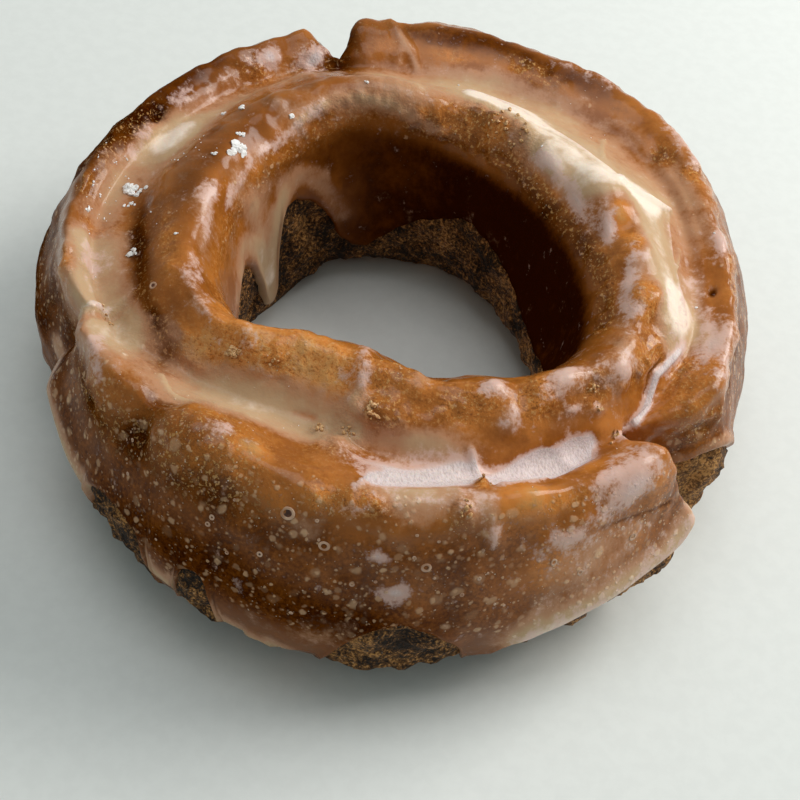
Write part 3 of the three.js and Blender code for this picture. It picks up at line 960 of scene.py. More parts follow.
def roll_ring(name: str, points: np.ndarray, layers: dict[str, np.ndarray]) -> bpy.types.Object:
    """Rolls a grid of quads into a closed ring, welds its two seams and makes it a piece.

    Args:
        name: the piece's name.
        points: a place in metres for each vertex, by column round the ring and row round the section.
        layers: a number for each vertex to keep as an attribute, by name.

    Returns:
        The piece.
    """
    columns, rows = points.shape[:2]
    once_more = ((0, 1), (0, 1))
    bm = bmesh.new()
    bmesh.ops.create_grid(bm, x_segments=rows, y_segments=columns, size=1.0)
    kept = [(bm.verts.layers.float.new(layer), np.pad(values, once_more, "wrap").ravel().tolist())
            for layer, values in layers.items()]
    places = np.pad(points, (*once_more, (0, 0)), "wrap").reshape(-1, 3).tolist()
    for index, (vert, place) in enumerate(zip(bm.verts, places)):
        vert.co = place
        for layer, values in kept:
            vert[layer] = values[index]
    bmesh.ops.remove_doubles(bm, verts=bm.verts, dist=WELD)
    bmesh.ops.recalc_face_normals(bm, faces=bm.faces)
    for face in bm.faces:
        face.smooth = True
    return make_piece(name, bm)


def report(piece: bpy.types.Object) -> None:
    """Logs a finished piece with its triangle count."""
    triangles = sum(len(face.vertices) - 2 for face in piece.data.polygons)
    LOG.info("%s: %d triangles", piece.name, triangles)


@dataclass
class GlazeSkin:
    """The set glaze: a closed skin that ends in rounded drips over the foot and in the hole.

    inner_edge and outer_edge give the station where the glaze stops, at some headings. Rows run level
    round the ring between the two middle ones of level_stations and bend towards the edges from
    there; the outer two are where they would end if they didn't bend. They stand closer together
    round top_middle of the way across and at both edges.

    The coat is thickness thick, and pool_fill more where there is a full film, up to fullest; bedding
    is how far it is let into the form. Its edge is rounded over the width of a bead, ends edge_sink
    under the form and swells by bead_rise just inside, where it is milkier by edge_film. Its lining
    lies lining_depth under the relief, and nothing is lower than clearance.
    """

    form: RingForm
    relief: Relief
    columns: int = 540
    outer_rows: int = 141
    lining_rows: int = 43
    level_stations: Sequence[float] = (1.8, 4.4, 9.4, 12.0)
    top_middle: float = 0.56
    top_reach: float = 0.17
    top_crowding: float = 0.6
    edge_reach: float = 0.03
    edge_crowding: float = 1.5
    thickness: float = 0.35
    pool_fill: float = 0.5
    fullest: float = 1.2
    bead: float = 1.7
    bead_rise: float = 0.35
    bedding: float = 0.5
    edge_sink: float = 1.2
    edge_wander: float = 0.12
    edge_film: float = 0.15
    edge_film_reach: float = 1.2
    lining_depth: float = 1.2
    lining_inset: float = 0.8
    clearance: float = 0.03
    strongest: float = 1.3
    inner_edge: Sequence[Place] = (
        (0, 1.9), (22, 1.98), (38, 2.2), (53, 2.35), (65, 2.42), (75, 2.3), (82, 2.14), (90, 1.95),
        (96, 1.77), (104, 1.45), (108, 1.15), (114, 1.2), (118, 1.45), (121, 1.65), (124, 1.95),
        (128, 2.2), (134, 2.4), (140, 2.52), (147, 2.5), (150.5, 2.3), (152, 1.7), (153.5, 0.9),
        (156, 0.6), (158.5, 0.75), (160.5, 1.1), (163, 1.6), (168, 2.05), (176, 2.28), (183, 2.36),
        (188.5, 2.2), (191, 1.7), (194, 1.1), (202, 1.0), (210, 1.5), (220, 2.0), (240, 2.2), (255, 1.6),
        (270, 2.1), (290, 1.9), (305, 1.4), (320, 2.0), (340, 2.1),
    )
    outer_edge: Sequence[Place] = (
        (5, 12.6), (12, 11.8), (18, 12.7), (27, 12.3), (33, 11.4), (40, 12.5), (52, 12.6), (60, 11.9),
        (68, 12.7), (80, 12.4), (90, 11.6), (97, 12.3), (103, 11.2), (106, 10.0), (110, 10.0), (114, 11.2),
        (122, 12.6), (133, 12.0), (140, 12.7), (152, 12.4), (160, 11.7), (168, 12.6), (178, 12.7),
        (186, 12.0), (193, 12.5), (200, 11.6), (207, 12.3), (216, 12.5), (226, 12.1), (228, 11.1),
        (231, 10.9), (236, 10.85), (239.5, 10.9), (241, 11.3), (241.9, 12.9), (244.6, 12.9),
        (245.7, 12.0), (246.5, 11.0), (248.5, 10.9), (250.5, 10.95), (252, 11.3), (253.2, 12.7),
        (255.4, 12.8), (257, 12.1), (259.6, 12.0), (261, 12.4), (262.4, 12.9), (266, 12.9),
        (268, 12.2), (270, 11.4), (272, 11.1), (274, 10.95), (278, 10.85), (282, 11.0), (285, 11.3),
        (287, 11.6), (288.5, 12.5), (291.5, 12.5), (293.5, 11.6), (298, 11.35), (303, 11.25),
        (308, 11.15), (313, 11.1), (318, 11.0), (321, 10.8), (324, 10.6), (326, 10.4), (328, 10.34),
        (331, 10.42), (334.4, 10.43), (337, 10.5), (341, 10.75), (345, 11.2), (349, 11.8), (355, 12.4),
    )

    def edge_length(self, edge: Sequence[Place], headings: np.ndarray) -> np.ndarray:
        """Where an edge of the glaze runs.

        Args:
            edge: headings and stations.
            headings: one per column, in degrees.

        Returns:
            Millimetres along the section, for each column.
        """
        at, stations = headings_and_stations(edge)
        fine = np.arange(0.0, 360.0, 0.25)
        line = np.interp(fine, at, self.form.length_at(stations), period=360.0)
        kernel = np.hanning(9)
        line = np.convolve(np.concatenate([line[-4:], line, line[:4]]), kernel / kernel.sum(), "valid")
        wander = np.sin(np.radians(fine * 17.0)) + np.sin(np.radians(fine * 41.0 + 50.0))
        return np.interp(headings, fine, line + self.edge_wander * wander, period=360.0)

    def _row_lengths(self, start: np.ndarray, end: np.ndarray) -> np.ndarray:
        """Where the rows stand; between the hole's lip and the petals they run level round the ring.

        Args:
            start: where the glaze starts along the section, for each column.
            end: where it ends, for each column.

        Returns:
            Millimetres along the section, by column and row.
        """
        low, lip, petal, high = (float(self.form.length_at(station)) for station in self.level_stations)
        fine = np.linspace(0.0, 1.0, 400)
        top = np.exp(-(((fine - self.top_middle) / self.top_reach) ** 4))
        edges = hill(fine, self.edge_reach) + hill(1.0 - fine, self.edge_reach)
        density = 1.0 + self.top_crowding * top + self.edge_crowding * edges
        total = np.concatenate([[0.0], np.cumsum(density[1:])])
        rows = np.interp(np.linspace(0.0, 1.0, self.outer_rows), total / total[-1], fine)
        level = low + (high - low) * rows
        inward = np.clip((lip - level) / (lip - low), 0.0, 1.0)
        outward = np.clip((level - petal) / (high - petal), 0.0, 1.0)
        return level + (start - low) * inward + (end - high) * outward

    def build(self) -> bpy.types.Object:
        """Models the skin.

        Returns:
            The piece "glaze".
        """
        headings = self.form.column_headings(self.columns)
        start = self.edge_length(self.inner_edge, headings)[:, None]
        end = self.edge_length(self.outer_edge, headings)[:, None]
        length = self._row_lengths(start, end)
        skin = Patch.of(self.form, headings, self.form.station_at(length))
        layers = self.relief.over(skin)
        inset = np.minimum(length - start, end - length)
        near_edge = 1.0 - np.clip(inset / self.bead, 0.0, 1.0)
        roll = np.sqrt(np.clip(1.0 - near_edge**2, 0.0, 1.0))
        lip = hill(inset - self.bead, self.bead)
        coat = self._coat(layers) + self.bead_rise * lip
        stand = (layers["lift"] + coat) * roll - self.edge_sink * (1.0 - roll)
        outer = skin.points + skin.out * stand[..., None]
        layers["film"] += self.edge_film * hill(inset, self.edge_film_reach)

        even = np.linspace(0.0, 1.0, self.lining_rows)
        even = even - 0.5 * np.sin(math.tau * (even - 0.5)) / math.tau
        under = (start + self.lining_inset) + (end - start - 2.0 * self.lining_inset) * even
        lining = Patch.of(self.form, headings, self.form.station_at(under))
        depth = self.lining_depth - self.relief.over(lining)["lift"]
        inner = (lining.points - lining.out * depth[..., None])[:, ::-1]

        points = np.concatenate([outer, inner], axis=1)
        points[..., 2] = np.maximum(points[..., 2], self.clearance)
        plain = np.zeros(inner.shape[:-1])
        kept = {}
        for layer in Layer:
            shown = np.clip(layers[layer.value], 0.0, self.strongest)
            kept[layer.value] = np.concatenate([shown, plain], axis=1)
        return roll_ring("glaze", self.form.place(points), kept)

    def _coat(self, layers: dict[str, np.ndarray]) -> np.ndarray:
        """How far the coat itself stands off the form, in millimetres."""
        return self.thickness - self.bedding + self.pool_fill * np.clip(layers["film"], 0.0, self.fullest)

    def surface_at(self, headings: np.ndarray, stations: np.ndarray) -> list[tuple[Vector, Matrix]]:
        """Where the top of the glaze is.

        Args:
            headings: in degrees, one for each place.
            stations: the station of each place.

        Returns:
            For each place the point in metres, and a turn whose Z stands off the surface and X runs
            round the ring.
        """
        spots = Patch.of(self.form, headings, stations[:, None])
        layers = self.relief.over(spots)
        stand = layers["lift"] + self._coat(layers)
        points = self.form.place(spots.points + spots.out * stand[..., None])
        side = unit(np.cross(spots.out, spots.along))
        axes = np.stack([spots.along, side, spots.out], axis=-1)
        return [(Vector(point), Matrix(turned.tolist())) for point, turned in zip(points[:, 0], axes[:, 0])]

    def dress(self, piece: bpy.types.Object) -> None:
        """Gives the skin its finish and its place in the frame.

        Args:
            piece: the skin.
        """
        piece.data.materials.append(GlazeFinish().make())
        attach(piece, "root")


@dataclass
class CrustBody:
    """The fried dough itself: a craggy ring, bare at the foot, in the hole and on the flat underside.

    bare_edge: how far under the glaze the bare crags start and end, in millimetres.
    crags: height and width of each size of crag, in millimetres, and a shift that sets it apart.
    """

    form: RingForm
    relief: Relief
    glaze: GlazeSkin
    columns: int = 420
    wall_rows: int = 108
    base_rows: int = 12
    foot_crowding: float = 0.07
    sunk: float = 0.9
    recess: float = 0.3
    bare_calm: float = 0.2
    bare_edge: tuple[float, float] = (-0.2, 1.6)
    crags: Sequence[tuple[float, float, float]] = ((0.9, 4.0, 0.0), (0.5, 1.9, 9.0), (0.35, 0.95, 30.0))
    foot_height: float = 2.5
    pore_depth: float = 0.12
    pore_width: float = 2.5
    fresh_heading: float = 328.0
    fresh_reach: float = 24.0
    grain: Grain = field(default_factory=lambda: Grain(21))

    def build(self) -> bpy.types.Object:
        """Models the dough.

        Returns:
            The piece "crust".
        """
        headings = self.form.column_headings(self.columns)
        full = self.form.lengths[-1]
        rows = np.linspace(0.0, 1.0, self.wall_rows)
        rows = rows - self.foot_crowding * np.sin(rows * math.tau)
        length = np.tile(rows * full, (self.columns, 1))
        skin = Patch.of(self.form, headings, self.form.station_at(length))
        layers = self.relief.over(skin)
        start = self.glaze.edge_length(self.glaze.inner_edge, headings)[:, None]
        end = self.glaze.edge_length(self.glaze.outer_edge, headings)[:, None]
        covered = np.minimum(length - start, end - length)
        bare = 1.0 - smoothstep(covered, *self.bare_edge)
        standing = np.minimum(skin.points[..., 2] / self.foot_height, 1.0)
        crag = sum(high * self.grain.at(skin.points + shift, wide) for high, wide, shift in self.crags)
        lift = layers["lift"] * (1.0 - self.bare_calm * bare) - self.sunk * (1.0 - bare)
        lift += bare * standing * (crag - self.recess)
        wall = skin.points + skin.out * lift[..., None]

        run = np.linspace(0.0, 1.0, self.base_rows + 2)[1:-1][None, :, None]
        base = wall[:, -1:] * (1.0 - run) + wall[:, :1] * run
        pores = self.pore_depth * np.abs(self.grain.at(base, self.pore_width))
        base[..., 2] = pores * np.sin(run[..., 0] * math.pi)
        points = np.concatenate([wall, base], axis=1)
        points[..., 2] = np.maximum(points[..., 2], 0.0)
        golden = hill(turn(self.fresh_heading, headings), self.fresh_reach)
        fresh = np.tile(golden[:, None], (1, points.shape[1]))
        return roll_ring("crust", self.form.place(points), {"fresh": fresh})

    def dress(self, piece: bpy.types.Object) -> None:
        """Gives the dough its finish and its place in the frame.

        Args:
            piece: the dough.
        """
        piece.data.materials.append(CrustFinish().make())
        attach(piece, "root")
        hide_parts(NODE)


# Flakes, crumbs and bubbles


@dataclass(frozen=True)
class Heap:
    """A small heap of bits lying on the glaze.

    at: heading and station of its middle.
    spread: how far the bits lie from the middle, in millimetres.
    bits: how many.
    size: half width of the smallest and the largest bit, in millimetres.
    flat: how tall a bit is for its width.
    """

    at: Place
    spread: float
    bits: int
    size: tuple[float, float]
    flat: float


FLAKES: tuple[Heap, ...] = (
    Heap((161.5, 4.6), 1.0, 12, (0.3, 0.8), 0.45),
    Heap((165.0, 4.75), 0.8, 6, (0.25, 0.6), 0.45),
    Heap((157.5, 4.9), 0.8, 5, (0.2, 0.45), 0.45),
    Heap((168.5, 5.05), 0.35, 3, (0.2, 0.35), 0.5),
    Heap((177.0, 6.6), 1.1, 12, (0.35, 0.85), 0.45),
    Heap((182.0, 6.55), 0.6, 6, (0.25, 0.5), 0.45),
    Heap((197.0, 6.25), 0.6, 6, (0.25, 0.55), 0.4),
    Heap((146.5, 5.7), 0.5, 4, (0.25, 0.45), 0.45),
    Heap((148.5, 6.2), 0.4, 3, (0.25, 0.45), 0.45),
    Heap((139.0, 4.5), 0.35, 3, (0.2, 0.4), 0.5),
    Heap((112.5, 5.0), 0.25, 2, (0.15, 0.25), 0.6),
    Heap((198.5, 5.25), 0.2, 2, (0.15, 0.25), 0.5),
    Heap((185.5, 8.0), 0.4, 4, (0.2, 0.35), 0.5),
    Heap((181.3, 7.65), 0.2, 2, (0.15, 0.25), 0.5),
    Heap((170.0, 7.55), 0.2, 2, (0.12, 0.22), 0.6),
    Heap((173.0, 7.9), 0.2, 2, (0.1, 0.2), 0.6),
    Heap((180.5, 8.3), 0.3, 3, (0.12, 0.25), 0.6),
    Heap((190.0, 7.6), 0.2, 2, (0.1, 0.18), 0.6),
    Heap((186.0, 6.9), 0.4, 4, (0.08, 0.18), 0.6),
    Heap((357.0, 7.25), 0.1, 1, (0.2, 0.25), 0.6),
    Heap((15.0, 8.6), 0.1, 1, (0.15, 0.2), 0.6),
    Heap((48.5, 4.85), 0.15, 2, (0.12, 0.2), 0.6),
    Heap((85.5, 7.0), 0.1, 1, (0.15, 0.2), 0.6),
    Heap((165.0, 5.6), 4.0, 14, (0.06, 0.16), 0.7),
    Heap((175.0, 7.6), 6.0, 14, (0.06, 0.17), 0.7),
    Heap((190.0, 6.6), 6.0, 10, (0.05, 0.14), 0.7),
    Heap((60.0, 7.8), 9.0, 6, (0.05, 0.1), 0.7),
    Heap((245.0, 8.4), 12.0, 8, (0.05, 0.1), 0.7),
    Heap((305.0, 7.7), 8.0, 8, (0.05, 0.1), 0.7),
)

CRUMBS: tuple[Heap, ...] = (
    Heap((233.5, 6.0), 0.75, 14, (0.28, 0.5), 0.9),
    Heap((258.3, 6.95), 0.55, 9, (0.22, 0.42), 0.9),
    Heap((269.5, 6.15), 1.0, 16, (0.18, 0.4), 0.9),
    Heap((264.5, 6.7), 1.0, 9, (0.15, 0.32), 0.9),
    Heap((242.5, 5.9), 0.6, 6, (0.12, 0.28), 0.9),
    Heap((285.0, 9.1), 0.8, 10, (0.15, 0.32), 0.9),
    Heap((289.0, 8.2), 0.8, 7, (0.12, 0.28), 0.9),
    Heap((207.5, 7.6), 1.6, 10, (0.12, 0.3), 0.9),
    Heap((66.0, 5.0), 2.4, 18, (0.15, 0.38), 0.8),
    Heap((58.0, 4.9), 1.4, 8, (0.15, 0.35), 0.8),
    Heap((318.0, 5.6), 1.0, 9, (0.15, 0.3), 0.9),
    Heap((317.5, 6.2), 0.6, 5, (0.12, 0.28), 0.9),
    Heap((319.0, 7.2), 0.9, 6, (0.12, 0.25), 0.9),
)


@dataclass(frozen=True)
class Bubble:
    """One bubble that has set in the glaze with a raised rim.

    at: heading and station of its middle.
    width: across its rim, in millimetres.
    open: whether it has burst down to the dough.
    """

    at: Place
    width: float
    open: bool = False


BURST: tuple[Bubble, ...] = (
    Bubble((260.2, 9.52), 1.45, True),
    Bubble((210.0, 5.9), 0.95, True),
    Bubble((257.8, 10.2), 0.7, True),
    Bubble((266.0, 9.85), 1.1),
    Bubble((311.0, 10.3), 1.0),
    Bubble((298.5, 10.2), 1.0),
    Bubble((302.5, 10.45), 0.8),
    Bubble((280.0, 10.0), 1.1),
)


@dataclass
class Bubbles:
    """Set bubbles: thin raised rims on the glaze, and in the burst ones a flat dark disc: dark dough and
    painted shade of the pit.

    The known ones come first. Scattered small ones on the lower front follow, between the two places
    of reach and the two widths. A rim's wall is wall_base thick and wall_share of its width more.
    """

    glaze: GlazeSkin
    burst: Sequence[Bubble] = BURST
    scattered: int = 34
    reach: tuple[Place, Place] = ((232.0, 9.5), (322.0, 10.8))
    widths: tuple[float, float] = (0.35, 0.85)
    seed: int = 17
    around: int = 18
    thick: int = 8
    wall_base: float = 0.07
    wall_share: float = 0.07
    wall_height: float = 0.45
    pit_rise: float = 0.02

    def build(self) -> bpy.types.Object:
        """Models the rims and the pits.

        Returns:
            The piece "bubble_rims", its pits set to the second material.
        """
        rng = np.random.default_rng(self.seed)
        (h0, s0), (h1, s1) = self.reach
        narrow, wide = self.widths
        bubbles = [*self.burst]
        for _ in range(self.scattered):
            at = (h0 + (h1 - h0) * rng.random(), s0 + (s1 - s0) * rng.random())
            bubbles.append(Bubble(at, narrow + (wide - narrow) * rng.random() ** 2.5))
        headings, stations = headings_and_stations([bubble.at for bubble in bubbles])
        bm = bmesh.new()
        for bubble, (point, axes) in zip(bubbles, self.glaze.surface_at(headings, stations)):
            self._add_rim(bm, bubble, point, axes, 0.8 + 0.4 * rng.random())
        bmesh.ops.recalc_face_normals(bm, faces=bm.faces)
        for face in bm.faces:
            face.smooth = True
        return make_piece("bubble_rims", bm)

    def _add_rim(self, bm: bmesh.types.BMesh, bubble: Bubble, point: Vector, axes: Matrix,
                 stretch: float) -> None:
        """Adds one rim, and its pit if it has burst.

        Args:
            bm: the mesh to add them to.
            bubble: which bubble.
            point: where it is.
            axes: the turn of the surface there.
            stretch: how long it is for its width.
        """
        wall = self.wall_base + self.wall_share * bubble.width
        grid = bmesh.ops.create_grid(bm, x_segments=self.thick, y_segments=self.around, size=1.0)["verts"]
        for index, vert in enumerate(grid):
            column, row = divmod(index, self.thick + 1)
            turned, rolled = column / self.around * math.tau, row / self.thick * math.tau
            out = bubble.width / 2 - wall + wall * math.cos(rolled)
            high = self.wall_height * wall * math.sin(rolled)
            local = Vector((out * math.cos(turned) * stretch, out * math.sin(turned), high))
            vert.co = point + axes @ (local * MM)
        bmesh.ops.remove_doubles(bm, verts=grid, dist=WELD)
        # A burst bubble gets a flat dark disc, painted shade of its pit.
        if bubble.open:
            disc = bmesh.ops.create_circle(bm, cap_ends=True, segments=self.around, radius=1.0)["verts"]
            for vert in disc:
                local = Vector((vert.co.x * stretch, vert.co.y, 0.0)) * (bubble.width / 2 - wall)
                vert.co = point + axes @ ((local + Vector((0.0, 0.0, self.pit_rise))) * MM)
            for face in {face for vert in disc for face in vert.link_faces}:
                face.material_index = 1

    def dress(self, piece: bpy.types.Object) -> None:
        """Gives the rims and pits their finishes and their place in the frame.

        Args:
            piece: the rims, with their pits.
        """
        piece.data.materials.append(BUBBLE_RIM.make())
        piece.data.materials.append(BUBBLE_PIT_SHADE.make())
        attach(piece, "root")


@dataclass
class Bits:
    """Small broken bits that lie on the glaze, joined into one piece.

    A bit is a ball with flats broken off it, each at shallow to shallow + deep of its radius. It has
    more faces from each size of finer_from, in millimetres.
    """

    name: str
    slot: str
    heaps: Sequence[Heap]
    glaze: GlazeSkin
    seed: int
    flats: int = 7
    shallow: float = 0.45
    deep: float = 0.4
    broken: float = 0.9
    narrowest: float = 0.6
    roughness: float = 0.0875
    tilt: float = 0.25
    rise: float = 0.35
    finer_from: Sequence[float] = (0.18, 0.4)

    def build(self) -> bpy.types.Object:
        """Models the bits.

        Returns:
            The piece.
        """
        rng = np.random.default_rng(self.seed)
        form = self.glaze.form
        heaps = [heap for heap in self.heaps for _ in range(heap.bits)]
        headings, stations = headings_and_stations([heap.at for heap in heaps])
        reach = np.array([heap.spread for heap in heaps]) * np.sqrt(rng.random(len(heaps)))
        bearing = rng.random(len(heaps)) * math.tau
        stations = form.station_at(form.length_at(stations) + reach * np.sin(bearing))
        per_degree = math.radians(1.0) * float(np.mean(form.crease))
        headings = headings + reach * np.cos(bearing) / per_degree
        bm = bmesh.new()
        for heap, (point, axes) in zip(heaps, self.glaze.surface_at(headings, stations)):
            self._add_bit(bm, heap, point, axes, rng)
        bmesh.ops.recalc_face_normals(bm, faces=bm.faces)
        return make_piece(self.name, bm)

    def _add_bit(self, bm: bmesh.types.BMesh, heap: Heap, point: Vector, axes: Matrix,
                 rng: np.random.Generator) -> None:
        """Adds one broken bit.

        Args:
            bm: the mesh to add it to.
            heap: the heap it belongs to.
            point: where it lies.
            axes: the turn of the surface there.
            rng: where its size and breaks come from.
        """
        size = heap.size[0] + (heap.size[1] - heap.size[0]) * rng.random() ** 1.6
        detail = 1 + sum(size >= limit for limit in self.finer_from)
        ball = bmesh.ops.create_icosphere(bm, subdivisions=detail, radius=1.0)["verts"]
        narrow = self.narrowest + (1.0 - self.narrowest) * rng.random()
        stretch = Vector((1.0, narrow, heap.flat))
        cuts = unit(rng.normal(size=(self.flats, 3)))
        depths = self.shallow + self.deep * rng.random(self.flats)
        spin = Matrix.Rotation(rng.random() * math.tau, 3, "Z")
        spin = spin @ Matrix.Rotation(rng.normal() * self.tilt, 3, "X")
        place = np.array([vert.co for vert in ball])
        for cut, depth in zip(cuts, depths):
            place -= np.clip(place @ cut - depth, 0.0, None)[:, None] * cut * self.broken
        place += rng.normal(size=place.shape) * self.roughness
        rise = axes.col[2] * (size * heap.flat * self.rise * MM)
        for vert, shaped in zip(ball, place.tolist()):
            vert.co = point + rise + axes @ (spin @ (Vector(shaped) * stretch * (size * MM)))

    def dress(self, piece: bpy.types.Object, finish: bpy.types.Material) -> None:
        """Gives the bits their finish and their place in the frame.

        Args:
            piece: the joined bits.
            finish: what they are made of.
        """
        piece.data.materials.append(finish)
        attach(piece, "root")


# Finishes

Colour = tuple[float, float, float]
Value = "Wire | float"


class Wire:
    """A number on its way through a material; arithmetic on it adds the nodes it needs."""

    def __init__(self, board: Board, socket: bpy.types.NodeSocket) -> None:
        """Wraps a socket.

        Args:
            board: the material it is in.
            socket: the output to read.
        """
        self.board = board
        self.socket = socket

    def _math(self, operation: str, first: Value, second: Value) -> Wire:
        """Adds a Math node.

        Args:
            operation: its operation.
            first: its first value.
            second: its second value.

        Returns:
            The result.
        """
        return self.board.node("ShaderNodeMath", {"operation": operation}, {0: first, 1: second}).out()

    def __add__(self, other: Value) -> Wire:
        """The sum."""
        return self._math("ADD", self, other)

    def __radd__(self, other: Value) -> Wire:
        """The sum."""
        return self._math("ADD", other, self)

    def __sub__(self, other: Value) -> Wire:
        """The difference."""
        return self._math("SUBTRACT", self, other)

    def __rsub__(self, other: Value) -> Wire:
        """The difference."""
        return self._math("SUBTRACT", other, self)

    def __mul__(self, other: Value) -> Wire:
        """The product."""
        return self._math("MULTIPLY", self, other)

    def __rmul__(self, other: Value) -> Wire:
        """The product."""
        return self._math("MULTIPLY", other, self)

    def over(self, low: Value, high: Value) -> Wire:
        """Rises smoothly from 0 at low to 1 at high.

        Args:
            low: where the rise starts.
            high: where it ends.

        Returns:
            The mapped number.
        """
        inputs = {"Value": self, "From Min": low, "From Max": high, "To Min": 0.0, "To Max": 1.0}
        return self.board.node("ShaderNodeMapRange", {"interpolation_type": "SMOOTHSTEP"}, inputs).out()

    def held(self) -> Wire:
        """The number kept between 0 and 1."""
        return self.board.node("ShaderNodeClamp", {}, {"Value": self}).out()


class Step:
    """One node and its outputs."""

    def __init__(self, board: Board, node: bpy.types.Node) -> None:
        """Wraps a node of a board."""
        self.board = board
        self.node = node

    def out(self, name: str | int = 0) -> Wire:
        """One of its outputs."""
        return Wire(self.board, self.node.outputs[name])


class Board:
    """The nodes of one material."""

    def __init__(self, name: str) -> None:
        """Starts an empty material.

        Args:
            name: the material's name.
        """
        self.material = bpy.data.materials.new(name)
        self.material.use_nodes = True
        self.tree = self.material.node_tree
        self.tree.nodes.clear()
        self.place = self.node("ShaderNodeTexCoord", {}, {}).out("Object")

    def node(self, kind: str, settings: dict[str, object], inputs: dict[str | int, object]) -> Step:
        """Adds a node.

        Args:
            kind: its type.
            settings: its own settings, set first.
            inputs: for its sockets, by name or number, a wire to link or a value to set.

        Returns:
            The node.
        """
        node = self.tree.nodes.new(kind)
        for name, value in settings.items():
            setattr(node, name, value)
        for name, value in inputs.items():
            if isinstance(value, Wire):
                self.tree.links.new(value.socket, node.inputs[name])
            else:
                node.inputs[name].default_value = value
        return Step(self, node)

    def layer(self, name: str) -> Wire:
        """An attribute of the piece, by name."""
        return self.node("ShaderNodeAttribute", {"attribute_name": name}, {}).out("Fac")

    def noise(self, size: float, detail: float, rough: float, tall: float = 1.0) -> Wire:
        """Cloudy noise.

        Args:
            size: width of its lumps in millimetres.
            detail: how many finer sizes there are in it.
            rough: how strong those are.
            tall: how much taller than wide its lumps are.

        Returns:
            Numbers round 0.5.
        """
        return self._drawn(self.place, (1.0, 1.0, 1.0 / tall), size, detail, rough)

    def fibre(self, width: float, stretch: float, heading: float) -> Wire:
        """Noise drawn out into fibres.

        Args:
            width: of a fibre in millimetres.
            stretch: how much longer than wide it is.
            heading: which way it runs, in degrees.

        Returns:
            Numbers round 0.5.
        """
        turned = self.node("ShaderNodeVectorRotate", {"rotation_type": "Z_AXIS"},
                           {"Vector": self.place, "Angle": -math.radians(heading)}).out()
        return self._drawn(turned, (1.0 / stretch, 1.0, 1.0), width, 3.0, 0.6)

    def _drawn(self, place: Wire, share: Colour, size: float, detail: float, rough: float) -> Wire:
        """Noise that is drawn out along an axis.

        Args:
            place: where it is read.
            share: how fast it changes along each axis.
            size: width of its lumps in millimetres.
            detail: how many finer sizes there are in it.
            rough: how strong those are.

        Returns:
            Numbers round 0.5.
        """
        drawn = self.node("ShaderNodeVectorMath", {"operation": "MULTIPLY"}, {0: place, 1: share}).out()
        inputs = {"Vector": drawn, "Scale": 1.0 / (size * MM), "Detail": detail, "Roughness": rough}
        return self.node("ShaderNodeTexNoise", {}, inputs).out("Fac")

    def cells(self, spacing: float, bend: float = 0.0) -> Step:
        """Scattered cells.

        Args:
            spacing: from one cell to the next, in millimetres.
            bend: how far they are pulled out of shape, in cell widths.

        Returns:
            The node, with the distance in cell widths and a colour of its own for each cell.
        """
        inputs = {"Vector": self.place, "Scale": 1.6 / (spacing * MM), "Detail": 1.0}
        pull = self.node("ShaderNodeTexNoise", {}, inputs).out("Color")
        push = self.node("ShaderNodeVectorMath", {"operation": "SCALE"},
                         {0: pull, "Scale": 2.0 * bend * spacing * MM}).out()
        pulled = self.node("ShaderNodeVectorMath", {"operation": "ADD"}, {0: self.place, 1: push}).out()
        inputs = {"Vector": pulled, "Scale": 1.0 / (spacing * MM)}
        return self.node("ShaderNodeTexVoronoi", {"feature": "F1"}, inputs)

    def mix(self, amount: Value, first: Wire | Colour, second: Wire | Colour) -> Wire:
        """Mixes two colours.

        Args:
            amount: how much of the second there is.
            first: the first colour.
            second: the second colour.

        Returns:
            The mixed colour.
        """
        inputs = {0: amount}
        for socket, colour in ((6, first), (7, second)):
            inputs[socket] = colour if isinstance(colour, Wire) else (*colour, 1.0)
        settings = {"data_type": "RGBA", "blend_type": "MIX", "clamp_factor": True}
        return self.node("ShaderNodeMix", settings, inputs).out(2)

    def channel(self, colour: Wire, which: int) -> Wire:
        """One channel of a colour."""
        return self.node("ShaderNodeSeparateColor", {}, {0: colour}).out(which)

    def bump(self, height: Wire, depth: float, under: Wire | None = None) -> Wire:
        """Small relief.

        Args:
            height: how high each spot stands, from 0 to 1.
            depth: millimetres for a height of 1.
            under: a normal to start from.

        Returns:
            The normal.
        """
        inputs = {"Strength": 1.0, "Distance": depth * MM, "Height": height}
        if under is not None:
            inputs["Normal"] = under
        return self.node("ShaderNodeBump", {}, inputs).out("Normal")

    def surface(self, inputs: dict[str | int, object]) -> bpy.types.Material:
        """Ends the material in a surface.

        Args:
            inputs: for the sockets of the surface, by name.

        Returns:
            The material.
        """
        shader = self.node("ShaderNodeBsdfPrincipled", {}, inputs).out("BSDF")
        self.node("ShaderNodeOutputMaterial", {}, {"Surface": shader})
        return self.material


